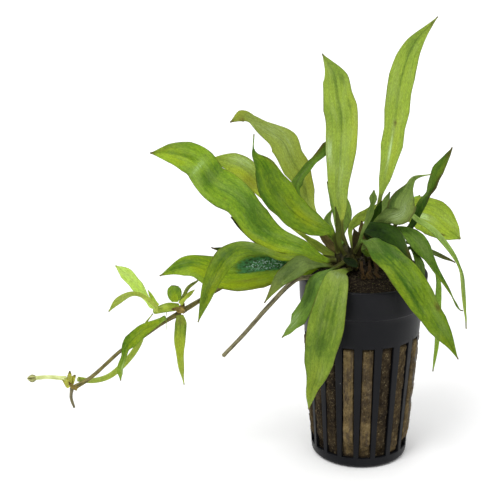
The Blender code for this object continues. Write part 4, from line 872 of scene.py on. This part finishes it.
def potOutline(slotRows, lipBottom):
    # the outer and the inner side of the wall, from the bottom up, each as radius and height
    p = potSizes
    footCentre = bodyRadius(p["footRounding"]) - p["footRounding"]
    outer = arcPoints(footCentre, p["footRounding"], p["footRounding"], -90, 0, 5)
    outer += [(bodyRadius(z), z) for z in p["footRows"] + slotRows + p["outerRows"] + [lipBottom - 1.1]]
    outer += [(bodyRadius(lipBottom) + more, lipBottom - drop) for more, drop in ((0.12, 0.65), (0.45, 0.4))]
    lipFoot = p["lipRadius"] - p["lipTaper"]
    outer += arcPoints(lipFoot - p["lipEdge"], lipBottom + 0.05, p["lipEdge"], -90, 0, 3)
    outer += [(lipFoot + p["lipTaper"] * s, lipBottom + p["lipHeight"] * s) for s in (0.2, 0.4, 0.6, 0.8)]
    rounding = p["lipRounding"]
    outer += arcPoints(p["lipRadius"] - rounding, p["height"] - rounding, rounding, 0, 90, 4)
    inner = [(innerRadius(z), z) for z in [p["floor"]] + slotRows + p["innerRows"] + [lipBottom - 0.8]]
    inner += [(innerRadius(lipBottom) + 0.05, lipBottom), (p["mouthRadius"], p["height"] - 1.0)]
    inner += arcPoints(p["mouthEdge"], p["height"] - p["mouthRounding"], p["mouthRounding"], 180, 90, 3)
    return outer, inner


def potRing(work, radius, height):
    p = potSizes
    half = math.degrees(math.asin(p["slotWidth"] / 2 / radius))
    turns = [half * t for t in slotColumns] + [half + (slotStep - 2 * half) * t for t in ribColumns]
    verts = []
    for k in range(p["slots"]):
        for turn in turns:
            angle = math.radians(p["firstSlot"] + slotStep * k + turn)
            x, y = radius * math.cos(angle), radius * math.sin(angle)
            verts.append(work.verts.new((x * mm, y * mm, height * mm)))
    return verts


def closeFoot(work, outerRing, innerRing):
    # the foot's lower and upper side around the drain holes, and the holes' walls
    p = potSizes
    sides = p["holeSides"]
    walls = []
    for ring, height, down in ((outerRing, 0.0, -1), (innerRing, p["floor"], 1)):
        edges = [work.edges.get(pair) for pair in zip(ring, ring[1:] + ring[:1])]
        holes = []
        for h in range(p["holes"]):
            turn = fullTurn * h / p["holes"]
            loop = []
            for i in range(sides):
                angle = fullTurn * i / sides
                x = p["holeRing"] * math.cos(turn) + p["holeRadius"] * math.cos(angle)
                y = p["holeRing"] * math.sin(turn) + p["holeRadius"] * math.sin(angle)
                loop.append(work.verts.new((x * mm, y * mm, height * mm)))
            edges += [work.edges.new(pair) for pair in zip(loop, loop[1:] + loop[:1])]
            holes.append(loop)
        bmesh.ops.triangle_fill(work, use_beauty=True, use_dissolve=False, edges=edges, normal=(0, 0, down))
        walls.append(holes)
    for low, high in zip(*walls):
        for i in range(sides):
            k = (i + 1) % sides
            work.faces.new([low[i], low[k], high[k], high[i]])


def makePot():
    p = potSizes
    lipBottom = p["height"] - p["lipHeight"]
    slotRows = list(np.linspace(p["slotBottom"], p["slotTop"], p["slotRows"]))
    outer, inner = potOutline(slotRows, lipBottom)
    work = bmesh.new()
    outerRings = [potRing(work, r, z) for r, z in outer]
    innerRings = [potRing(work, r, z) for r, z in inner]
    columns = len(slotColumns) + len(ribColumns)
    count = p["slots"] * columns
    slotEnd = len(slotColumns) - 1
    last = len(slotRows) - 1
    # the rings that run through the slots
    outerSlot = outerRings[outer.index((bodyRadius(slotRows[0]), slotRows[0])):][:last + 1]
    innerSlot = innerRings[1:][:last + 1]
    for rings, slotRings, way in ((outerRings, outerSlot, 1), (innerRings, innerSlot, -1)):
        for below, above in zip(rings, rings[1:]):
            slotted = below in slotRings and above in slotRings
            for j in range(count):
                if slotted and j % columns < slotEnd:
                    continue
                k = (j + 1) % count
                work.faces.new([below[j], below[k], above[k], above[j]][::way])
    for j in range(count):  # the rim's top
        k = (j + 1) % count
        work.faces.new([outerRings[-1][j], outerRings[-1][k], innerRings[-1][k], innerRings[-1][j]])
    corners = []
    for s in range(p["slots"]):  # the slots' sides, bottoms and tops
        left, right = s * columns, s * columns + slotEnd
        for i in range(last):
            a, b, c, d = outerSlot[i], outerSlot[i + 1], innerSlot[i + 1], innerSlot[i]
            work.faces.new([a[left], b[left], c[left], d[left]])
            work.faces.new([a[right], d[right], c[right], b[right]])
        for j in range(left, right):
            k = j + 1
            low, high = outerSlot[0], outerSlot[-1]
            work.faces.new([low[j], innerSlot[0][j], innerSlot[0][k], low[k]])
            work.faces.new([high[j], high[k], innerSlot[-1][k], innerSlot[-1][j]])
        for j in (left, right):
            corners += [(outerSlot[0][j], innerSlot[0][j]), (outerSlot[-1][j], innerSlot[-1][j])]
    closeFoot(work, outerRings[0], innerRings[0])
    corners = [work.edges.get(pair) for pair in corners]
    bmesh.ops.bevel(work, geom=corners, offset=p["slotCorner"] * mm, segments=3, profile=0.5, affect="EDGES")
    bmesh.ops.recalc_face_normals(work, faces=work.faces[:])
    work.normal_update()
    sharp = []
    for edge in work.edges:
        z = (edge.verts[0].co.z + edge.verts[1].co.z) / 2 / mm
        outside = edge.verts[0].co.xy.length / mm > bodyRadius(z) - 0.3
        if p["sharpFrom"] < z < p["sharpTo"] and outside and edge.calc_face_angle() > p["sharpAngle"]:
            sharp.append(edge)
    bmesh.ops.bevel(work, geom=sharp, offset=p["edge"] * mm, segments=2, profile=0.5, affect="EDGES")
    data = bpy.data.meshes.new("slotted_pot")
    work.to_mesh(data)
    work.free()
    data.shade_smooth()
    data.set_sharp_from_angle(angle=math.radians(p["smooth"]))
    showMesh("slotted_pot", data, potMaterial(), "net_pot")


makePot()
print("pot made")


# The wool: a pressed plug of brown mineral fibre that swells into the slots
woolLook = {"grey": (0.06, 0.045, 0.035), "dark": (0.012, 0.008, 0.005), "brown": (0.045, 0.031, 0.015),
            "tan": (0.19, 0.135, 0.058), "pale": (0.3, 0.25, 0.14), "fibre": (0.15, 0.115, 0.06),
            "rough": 0.85, "gloss": 0.1, "fibreRough": 0.6, "fibreGloss": 0.15}
woolSizes = {"edgeTop": 74.0, "flat": 12.5, "gap": 0.3, "bottom": 1.95, "columns": 396, "rows": 120,
             "topRings": 46, "slotSides": (2.42, 1.95), "slotFoot": (4.5, 5.6), "slotHead": (53.9, 52.6)}
fibreSizes = {"count": 3600, "radius": 0.045, "topShare": 0.42, "topReach": 23.2, "slotTurn": 4.2,
              "slotHeights": (7.0, 53.0), "topLength": (1.2, 4.0), "slotLength": (0.8, 2.6),
              "topLift": (0.05, 0.5), "slotLift": (-0.1, 0.3), "standOut": 0.55, "sideRoom": 0.25}
# for each slot from the first one on: how far its wool stands out past the pot's wall (mm), how light it is
# (the wool's own tone, lowered as painted shade on the pot's shaded side), and how far it is pushed to the
# left (mm), which leaves a dark gap at its right
slotWool = [(-0.2, 0.5, 0.0), (-0.35, 0.2, 0.55), (-0.2, 0.38, 0.35), (0.35, 0.55, 0.2), (0.1, 0.6, 0.0),
            (-0.2, 0.4, -0.2), (-0.5, 0.5, 0.3), (-0.4, 0.4, 0.0), (-0.6, 0.6, 0.4), (-0.3, 0.5, 0.0),
            (-0.2, 0.4, -0.3), (-0.5, 0.5, 0.0), (-0.4, 0.6, 0.3), (-0.3, 0.5, 0.0), (0.35, 0.35, 0.2),
            (-0.25, 0.15, 0.3), (-0.6, 0.12, 0.7), (-0.2, 0.75, 0.0)]


def woolHeight(radius):
    reach = innerRadius(woolSizes["edgeTop"]) - woolSizes["gap"]
    share = min(max((radius - woolSizes["flat"]) / (reach - woolSizes["flat"]), 0.0), 1.0)
    return woolTop - (woolTop - woolSizes["edgeTop"]) * share ** 1.5


def woolSide(angle, z):
    # radius of the wool at a turn (degrees) and height, and how light it is
    place = ((angle - potSizes["firstSlot"]) / slotStep) % potSizes["slots"]
    k = int(round(place)) % potSizes["slots"]
    stand, tone, push = slotWool[k]
    off = math.radians((place - round(place)) * slotStep)
    lateral = abs(bodyRadius(z) * math.sin(off) + push * (1.0 + 0.4 * wander(z * 0.12, k * 2.1)))
    x, y = 30.0 * math.cos(math.radians(angle)), 30.0 * math.sin(math.radians(angle))
    lumps = wander(x * 0.22, y * 0.22, z * 0.22) * 0.5 + wander(x * 0.8, y * 0.8, z * 0.8) * 0.32
    fine = wander(x * 2.2, y * 2.2, z * 2.2) * 0.14
    # 1 within the slot, 0 behind the wall
    inside = smoothStep(*woolSizes["slotSides"], lateral)
    inside *= smoothStep(*woolSizes["slotFoot"], z) * smoothStep(*woolSizes["slotHead"], z)
    inner = innerRadius(z) - woolSizes["gap"] - 0.25 * abs(lumps)
    swell = bodyRadius(z) + stand + 0.9 * lumps + fine
    # an empty notch at the bottom of some slots
    notch = 2.6 if wander(k * 5.3, 7.7) > -0.05 else 0.65
    notch *= smoothStep(11.0 + 5 * wander(k * 3.7, 0.5), 6.0, z)
    swell = min(swell - notch, bodyRadius(z) + (0.7 if stand > 0.2 else 0.3))
    return inner + (swell - inner) * inside, tone * inside


def woolMaterial():
    material = newMaterial("mineral_wool")
    place = objectPlace(material.node_tree)
    light, crown = readValue(place.tree, "light"), readValue(place.tree, "upper")
    broad = noiseValue(place, 90.0, 4.0, 0.6)
    mottle = noiseValue(place, 420.0, 5.0, 0.65)
    warped = changeVector("MULTIPLY_ADD", place, {1: (1.0, 1.0, 0.45), 2: (0.3, 0.1, 0.2)})
    threads = noiseValue(warped, 1500.0, 4.0, 0.7)
    strands = noiseValue(stretch(place, 0.1), 800.0, 4.0, 0.65)
    grains = between(cellValue(place, 1300.0), 0.18, 0.34, 1.0, 0.0) * (between(mottle, 0.52, 0.62) * 0.6)
    # crown (the upper flag) darkens the top against the slots: painted shade from the leaves above
    share = broad * 0.9 + mottle * 0.9 + light * 0.9 - 0.78 - crown * 0.32
    share = higher(lower(share, 1.0), 0.0)
    colour = mixColour(between(share, 0.05, 0.45), woolLook["dark"], woolLook["brown"])
    colour = mixColour(between(share, 0.35, 0.9), colour, woolLook["tan"])
    drawn = between(strands, 0.52, 0.4) * between(light, 0.3, 0.6)
    for part, tint in ((drawn * 0.65, "grey"), (between(threads, 0.58, 0.72) * 0.6, "pale"),
                       (between(threads, 0.45, 0.3) * 0.7, "dark"), (grains, "pale")):
        colour = mixColour(part, colour, woolLook[tint])
    normal = bumpNormal(mottle + threads * 0.8, 0.9, 0.0005)
    closeTree(addSkin(colour, woolLook["rough"], woolLook["gloss"], normal))
    return material


def fibreMaterial():
    material = newMaterial("wool_fibre")
    tree = material.node_tree
    shade = noiseValue(objectPlace(tree), 300.0, 2.0)
    colour = mixColour(readValue(tree, "seed"), woolLook["dark"], woolLook["fibre"])
    colour = mixColour(between(shade, 0.58, 0.8), colour, woolLook["pale"])
    closeTree(addSkin(colour, woolLook["fibreRough"], woolLook["fibreGloss"]))
    return material


def makeWool():
    s = woolSizes
    columns = s["columns"]
    verts, values = [], {"light": [], "upper": []}

    def addVert(spot, light, upper):
        verts.append(spot)
        values["light"].append(light)
        values["upper"].append(upper)

    for z in np.linspace(s["bottom"], s["edgeTop"] - 0.4, s["rows"]):
        for j in range(columns):
            angle = 360.0 * j / columns
            radius, light = woolSide(angle, z)
            turn = math.radians(angle)
            addVert((radius * math.cos(turn) * mm, radius * math.sin(turn) * mm, z * mm), light, 0.0)
    reach = innerRadius(s["edgeTop"]) - s["gap"]
    for i in range(s["topRings"]):
        radius = reach * (1.0 - (i + 0.2) / s["topRings"])
        for j in range(columns):
            turn = fullTurn * j / columns
            x, y = radius * math.cos(turn), radius * math.sin(turn)
            lumps = wander(x * 0.35, y * 0.35, 3.0) * 0.7 + wander(x * 1.1, y * 1.1, 9.0) * 0.3
            lumps *= smoothStep(reach, reach - 3.0, radius)
            addVert((x * mm, y * mm, (woolHeight(radius) + lumps - 0.35) * mm), 0.0, 1.0)
    rows = s["rows"] + s["topRings"]
    faces = ringFaces(rows - 1, columns)
    for first, order in ((0, -1), ((rows - 1) * columns, 1)):
        ring = [first + j for j in range(columns)][::order]
        addVert((0, 0, sum(verts[i][2] for i in ring) / columns), 0.0, 0.0 if first == 0 else 1.0)
        for j in range(columns):
            faces.append((ring[j], ring[(j + 1) % columns], len(verts) - 1))
    addPiece("wool_plug", (verts, faces, values), woolMaterial(), "rock_wool")


def topSpot():
    radius = fibreSizes["topReach"] * math.sqrt(chance.random())
    turn = chance.random() * fullTurn
    spot = Vector((radius * math.cos(turn), radius * math.sin(turn), woolHeight(radius) - 0.3))
    return spot, Vector((0, 0, 1))


def slotSpot(k):
    swing = chance.uniform(-fibreSizes["slotTurn"], fibreSizes["slotTurn"])
    turn = math.radians(potSizes["firstSlot"] + slotStep * k + swing)
    z = chance.uniform(*fibreSizes["slotHeights"])
    radius = woolSide(math.degrees(turn), z)[0]
    out = Vector((math.cos(turn), math.sin(turn), 0.0))
    return Vector((radius * math.cos(turn), radius * math.sin(turn), z)), out


def inSlot(points, k):
    # whether a fibre stays within its slot and doesn't stand out too far
    middle = math.radians(potSizes["firstSlot"] + slotStep * k)
    sideways = Vector((-math.sin(middle), math.cos(middle), 0.0))
    near = max(p.xy.length for p in points) <= bodyRadius(points[1].z) + fibreSizes["standOut"]
    room = potSizes["slotWidth"] / 2 - fibreSizes["sideRoom"]
    return near and max(abs(p.dot(sideways)) for p in points) <= room


def fibreShape(points, radius, seed):
    verts = []
    for i, point in enumerate(points):
        along = (points[min(i + 1, 3)] - points[max(i - 1, 0)]).normalized()
        a = along.orthogonal().normalized()
        b = along.cross(a)
        size = radius * (0.35 if i in (0, 3) else 1.0)
        for j in range(3):
            turn = fullTurn * j / 3
            verts.append((point + a * (size * math.cos(turn)) + b * (size * math.sin(turn))) * mm)
    return verts, ringFaces(3, 3) + [(2, 1, 0), (9, 10, 11)], {"seed": [seed] * len(verts)}


def makeFibres():
    s = fibreSizes
    shapes = []
    while len(shapes) < s["count"]:
        onTop = chance.random() < s["topShare"]
        k = None if onTop else int(chance.integers(potSizes["slots"]))
        spot, out = topSpot() if onTop else slotSpot(k)
        across = out.cross(Vector(chance.normal(size=3))).normalized()
        length = chance.uniform(*(s["topLength"] if onTop else s["slotLength"]))
        bend = out.cross(across) * chance.uniform(-0.5, 0.5) * length
        lift = chance.uniform(*(s["topLift"] if onTop else s["slotLift"]))
        points = [spot - across * length / 2 - out * 0.15,
                  spot - across * length / 5 + out * lift + bend * 0.3,
                  spot + across * length / 5 + out * lift + bend * 0.5,
                  spot + across * length / 2 + bend - out * 0.1]
        if onTop or inSlot(points, k):
            radius = s["radius"] * chance.uniform(0.6, 1.3)
            shapes.append(fibreShape(points, radius, float(len(shapes) % 17) / 16))
    addPiece("wool_fibres", joinShapes(shapes), fibreMaterial(), "rock_wool")


makeWool()
makeFibres()
print("wool made")


# Stems, runner, roots and crowns
stemLooks = {
    "stalk_grey": {"dark": (0.06, 0.052, 0.03), "light": (0.3, 0.27, 0.14), "rough": 0.5},
    "runner_brown": {"dark": (0.045, 0.038, 0.01), "light": (0.23, 0.2, 0.055), "rough": 0.42},
    "stem_green": {"dark": (0.07, 0.09, 0.012), "light": (0.27, 0.33, 0.05), "rough": 0.42},
    "stem_pale": {"dark": (0.11, 0.17, 0.008), "light": (0.34, 0.44, 0.04), "rough": 0.42},
    "stem_white": {"dark": (0.36, 0.42, 0.1), "light": (0.82, 0.88, 0.44), "rough": 0.4},
    "bud": {"dark": (0.07, 0.07, 0.012), "light": (0.55, 0.56, 0.22), "rough": 0.5},
    # crown and root are near black: partly their own colour, partly painted shade from the leaves above them
    "crown": {"dark": (0.004, 0.004, 0.001), "light": (0.06, 0.053, 0.01), "rough": 0.6},
    "joint": {"dark": (0.09, 0.055, 0.01), "light": (0.42, 0.3, 0.08), "rough": 0.55},
    "root": {"dark": (0.005, 0.0035, 0.001), "light": (0.105, 0.056, 0.013), "rough": 0.5},
}
stemGloss = 0.2


def stemMaterial(name, look):
    material = newMaterial(name)
    run, turn, seed = [readValue(material.node_tree, key) for key in ("run", "turn", "seed")]
    x, y = calc("COSINE", turn * 6.2832), calc("SINE", turn * 6.2832)
    streak = noiseValue(joinVector(x * 2.4, y * 2.4, run * 0.12 + seed), 1.0, 4.0)
    patch = noiseValue(joinVector(x, y, run * 0.45 + seed), 0.8)
    colour = mixColour(between(streak * 0.9 + patch * 0.9, 0.6, 1.2), look["dark"], look["light"])
    rough = (patch - 0.5) * 0.3 + look["rough"]
    closeTree(addSkin(colour, rough, stemGloss, bumpNormal(streak, 0.6, 0.0003)))
    return material


stemMaterials = {name: stemMaterial(name + "_skin", look) for name, look in stemLooks.items()}

# points, radii along the length, the skin and the slot, and how ridged the skin is
stems = {
    "cut_stalk": {"points": [seat("left", 261, 0), (-14, -12.5, 81.5), (-23, -14.5, 81.3), (-29, -15, 80),
                             (-39, -19, 71), (-48, -24, 62), (-57, -27, 53)],
                  "radii": [1.05, 0.95, 0.95, 0.95, 0.9, 0.85, 0.8, 0.8], "skin": "stalk_grey",
                  "slot": "runner_brown", "ridges": 7},
    "runner_inner": {"points": [seat("left", 117, 0), (-18, 8, 82), (-32, 9, 79.5), (-47, 4, 76),
                                (-59, -3, 72), (-67, -8, 68.7), (-73.5, -12, 65.9)],
                     "radii": [1.1, 0.9, 0.85, 0.85, 0.8, 0.8, 0.85, 1.15], "skin": "runner_brown",
                     "slot": "runner_brown", "ridges": 5},
    "runner_outer": {"points": [(-74.4, -12.5, 65.3), (-78.5, -12.6, 63), (-84, -13, 59.4), (-90, -13, 54.9),
                                (-95, -13.2, 51.7), (-99, -13.8, 49), (-104, -15, 44.6), (-108.3, -16.7, 41),
                                (-112, -18.3, 38.6), (-116.5, -20, 36.5)],
                     "radii": [1.15, 0.8, 0.75, 0.75, 0.75, 0.75, 0.8, 1.0], "skin": "runner_brown",
                     "slot": "runner_brown", "ridges": 5},
    "runner_stub": {"points": [(-117.7, -20.1, 36), (-118.2, -20.1, 32), (-117.1, -20, 27.5)],
                    "radii": [0.9, 0.7, 0.65, 0.6, 0.45], "skin": "stalk_grey", "slot": "runner_brown",
                    "ridges": 4},
    "side_shoot": {"points": [(-67, -12, 79), (-71, -10.6, 75.5), (-72.6, -10.8, 72.5), (-74.2, -11.2, 69.7)],
                   "radii": [0.3, 0.7, 0.8, 0.75, 0.7], "skin": "stem_green", "slot": "stem_green",
                   "ridges": 4},
    "plantlet_base": {"points": [(-74.9, -13, 68.1), (-79.5, -14, 68.3), (-84.6, -15, 66.9)],
                      "radii": [1.5, 1.8, 2.0, 1.8, 1.5, 1.0], "skin": "stem_pale", "slot": "stem_pale",
                      "ridges": 6},
    "outer_stem": {"points": [(-119.9, -20, 40.3), (-126, -21, 41.3), (-132.2, -21.7, 41.3)],
                   "radii": [1.05, 0.9, 0.85, 0.82, 0.82, 0.84, 0.88], "skin": "stem_white",
                   "slot": "stem_pale", "ridges": 3},
}
stemSides = 14
# what sits on a stem: the knot at the runner's first node, the bud at its end, the plantlet's hair root
knot = {"points": [(-72.8, -12.2, 66.3), (-74.4, -13.2, 67.2), (-75.4, -13.4, 68.6)],
        "radii": [0.9, 1.5, 1.6, 1.4, 0.7]}
bud = {"points": [(-131.6, -21.7, 41.3), (-133.2, -21.9, 41.2), (-134.9, -22, 41.2)],
       "radii": [0.9, 1.4, 1.6, 1.5, 1.1, 0.45]}
hairRoot = {"points": [(-79.5, -14.2, 66.6), (-79.9, -14.6, 64.2), (-79.6, -14.8, 61), (-80, -14.8, 58.6)],
            "radii": [0.16, 0.12, 0.1, 0.08]}
roots = {
    "root_front": [(-2, -5.5, 84.5), (-2.4, -8.5, 82.5), (-1.8, -11.5, 81), (-2.2, -14.5, 80.4)],
    "root_middle": [(1, -4, 84.5), (1, -7.5, 82.5), (0.6, -11, 81), (1.2, -14, 80.4)],
    "root_side": [(3.5, -2.5, 84.2), (4, -6, 82.3), (3.6, -10, 81), (4.4, -13.5, 80.4)],
}
rootForm = {"strands": 8, "thickest": 0.26, "thinner": 0.02, "taper": (1.0, 0.9, 0.7, 0.4)}
crownForm = {"stock": [4.4, 4.7, 4.6, 4.2, 3.4, 2.2, 1.1], "heights": (80.5, 84.0, 87.0, 89.6), "bases": 30,
             "baseFoot": 80.55, "baseRadii": [0.65, 0.8, 0.7, 0.5, 0.12]}


def makeStems():
    for count, (node, spec) in enumerate(stems.items()):
        shapes = [tubeShape(spec["points"], spec["radii"], stemSides, 3.0 * count, 0.07, spec["ridges"])]
        if node == "runner_inner":
            shape = onPlant(tubeShape(knot["points"], knot["radii"], 16, 9.0, 0.22, 5, 12))
            addPiece("runner_knot", shape, stemMaterials["joint"], node)
        if node == "plantlet_base":
            shapes.append(tubeShape(hairRoot["points"], hairRoot["radii"], 6, 11.0, 0.1))
        if node == "outer_stem":
            shape = onPlant(tubeShape(bud["points"], bud["radii"], stemSides, 12.0, 0.12, 0, 12))
            addPiece("outer_bud", shape, stemMaterials["bud"], node)
        shape = onPlant(joinShapes(shapes))
        addPiece(node + "_skin", shape, stemMaterials[spec["skin"]], node)


def makeRoots():
    for count, (node, points) in enumerate(roots.items()):
        strands = []
        for i in range(rootForm["strands"]):
            seed = 10.0 * count + 2.1 * i
            line = []
            for share in [j / 8 for j in range(9)]:
                sway = Vector((wander(seed, share * 3.0), 0.4 * wander(seed + 5.0, share * 3.0), 0.0))
                spot = smoothCurve(points, share) + sway * (0.8 + 1.3 * share)
                spot.z += 0.15 * wander(seed + 9.0, share * 4.0)
                line.append(spot)
            radius = rootForm["thickest"] - rootForm["thinner"] * i
            radii = [radius * part for part in rootForm["taper"]]
            strands.append(tubeShape(line, radii, 7, seed, 0.15, 0, 26))
        shape = onPlant(joinShapes(strands))
        addPiece(node + "_strands", shape, stemMaterials["root"], node)


def makeCrowns():
    # a short stock ringed by the striped bases of old leaves, which lean outwards
    for name, (x, y) in crowns.items():
        shapes = [tubeShape([(x, y, z) for z in crownForm["heights"]], crownForm["stock"], 36, x, 0.06, 9)]
        for i in range(crownForm["bases"]):
            ring = i % 3
            turn = fullTurn * i / crownForm["bases"] + 0.25 * wander(i, x)
            start, lean = 5.0 - 1.3 * ring, 1.5 - 0.5 * ring
            rise = 4.0 + 2.0 * ring + 2.4 * wander(i * 1.7, x, 2.0)
            line = []
            for share in [j / 4 for j in range(5)]:
                reach = start + lean * share ** 1.6
                angle = turn + 0.15 * share * wander(i * 2.9, x)
                height = crownForm["baseFoot"] + rise * share
                line.append((x + reach * math.cos(angle), y + reach * math.sin(angle), height))
            shapes.append(tubeShape(line, crownForm["baseRadii"], 8, i + x, 0.2, 3, 14))
        shape = onPlant(joinShapes(shapes))
        addPiece("stock_" + name, shape, stemMaterials["crown"], "crown_" + name)


# Small dry scales at the nodes of the runner, and the fan of young sheaths at its end
bractLook = dict(young=(0.26, 0.2, 0.05), deep=(0.07, 0.05, 0.012), lower=(0.28, 0.22, 0.08),
                 highlightTint=(0.4, 0.3, 0.16), through=(0.26, 0.15, 0.05), clear=0.25, rough=0.55,
                 gloss=0.1, highlightBands=0.3)
fanLook = dict(young=(0.52, 0.54, 0.1), deep=(0.27, 0.27, 0.035), lower=(0.55, 0.55, 0.16),
               highlightTint=(0.6, 0.6, 0.35), through=(0.5, 0.46, 0.1), clear=0.35, rough=0.45,
               gloss=0.12, highlightBands=0.3)
bractForm = {"petiole": 0.0, "widest": 0.35, "fullness": 0.9, "cup": 0.5, "wave": 0.12, "waves": 1.5,
             "tone": 0.5, "tender": 1.0, "marks": [("brown", 0.95, 0, 0.8, 2, 0.9)]}
bracts = {
    "runner_inner": [[(-74.2, -13.6, 67.0), (-75.6, -15.0, 68.0), (-77.4, -15.8, 68.2)],
                     [(-73.6, -11.0, 66.6), (-73.4, -10.6, 68.4), (-74.0, -10.4, 70.2)]],
    "runner_outer": [[(-115.6, -20.4, 36.2), (-117.4, -21.3, 37.6), (-118.6, -21.6, 39.4)]],
}
fan = [{"spine": [(-118.6, -20.2, 36.9), (-119.6, -20.6, 39.0), (-121.2, -20.8, 40.6)], "width": 2.6},
       {"spine": [(-118.6, -20.0, 36.9), (-118.5, -20.2, 40.2), (-118.2, -20.0, 43.6)], "width": 2.2},
       {"spine": [(-118.6, -19.8, 36.9), (-117.5, -19.4, 39.4), (-116.2, -19.4, 41.6)], "width": 2.4}]


def makeBracts():
    dry = leafMaterial("dry_scale", bractLook)
    young = leafMaterial("young_sheath", fanLook)
    for node, lines in bracts.items():
        specs = [dict(bractForm, spine=line, width=1.8, dry=0.6) for line in lines]
        shapes = [leafShape(spec, 20.0 + i) for i, spec in enumerate(specs)]
        addPiece(node + "_scales", joinShapes(shapes), dry, node)
    shapes = [leafShape(dict(bractForm, **spec), 30.0 + i) for i, spec in enumerate(fan)]
    addPiece("young_sheaths", joinShapes(shapes), young, "outer_bracts")


makeStems()
makeRoots()
makeCrowns()
makeBracts()
print("stems, roots and crowns made")


# The plain pale floor, soft light from the upper left, and the photograph's view
floorLook = {"size": 6.0, "drop": 0.0002, "colours": ((0.94, 0.94, 0.94), (0.97, 0.97, 0.97)), "rough": 0.9,
             "gloss": 0.1}
light = {"sky": 1.25, "horizon": 0.35, "sun": 1.3, "spread": 28.0, "place": (-0.5, -0.6, 1.2),
         "aim": (0, 0, 0.09)}
view = {"place": (-45.7, -531.38, 270.57), "tilt": 71.0, "lens": 100.8}


def addToScene(name, data):
    thing = bpy.data.objects.new(name, data)
    bpy.context.scene.collection.objects.link(thing)
    return thing


def makeFloor():
    data = bpy.data.meshes.new("floor")
    s = floorLook["size"]
    data.from_pydata([(-s, -s, 0), (s, -s, 0), (s, s, 0), (-s, s, 0)], [], [(0, 1, 2, 3)])
    material = newMaterial("pale_floor")
    grain = noiseValue(objectPlace(material.node_tree), 60.0)
    closeTree(addSkin(mixColour(grain, *floorLook["colours"]), floorLook["rough"], floorLook["gloss"]))
    data.materials.append(material)
    floor = addToScene("floor", data)
    floor.location.z = -floorLook["drop"]


def makeLight():
    # the room is brighter overhead than at the horizon
    world = bpy.data.worlds.new("soft_room")
    world.use_nodes = True
    tree = world.node_tree
    way = addValue(tree, "ShaderNodeTexCoord", {}, {}, "Generated")
    rise = addValue(tree, "ShaderNodeSeparateXYZ", {}, {0: way}, "Z")
    room = tree.nodes["Background"]
    tree.links.new(between(rise, 0.0, 0.9, light["horizon"], light["sky"]).socket, room.inputs["Strength"])
    room.inputs["Color"].default_value = rgb((1.0, 1.0, 1.0))
    bpy.context.scene.world = world
    lamp = bpy.data.lights.new("key_light", "SUN")
    lamp.energy = light["sun"]
    lamp.angle = math.radians(light["spread"])
    holder = addToScene("key_light", lamp)
    holder.location = light["place"]
    holder.rotation_euler = (Vector(light["aim"]) - holder.location).to_track_quat("-Z", "Y").to_euler()


def makeCamera():
    data = bpy.data.cameras.new("view")
    data.sensor_width = 36.0
    data.lens = view["lens"]
    camera = addToScene("view", data)
    camera.location = Vector(view["place"]) * mm
    camera.rotation_euler = (math.radians(view["tilt"]), 0.0, 0.0)
    bpy.context.scene.camera = camera


makeFloor()
makeLight()
makeCamera()
bpy.context.scene.view_settings.view_transform = "Standard"
bpy.context.view_layer.update()
print("stage set")
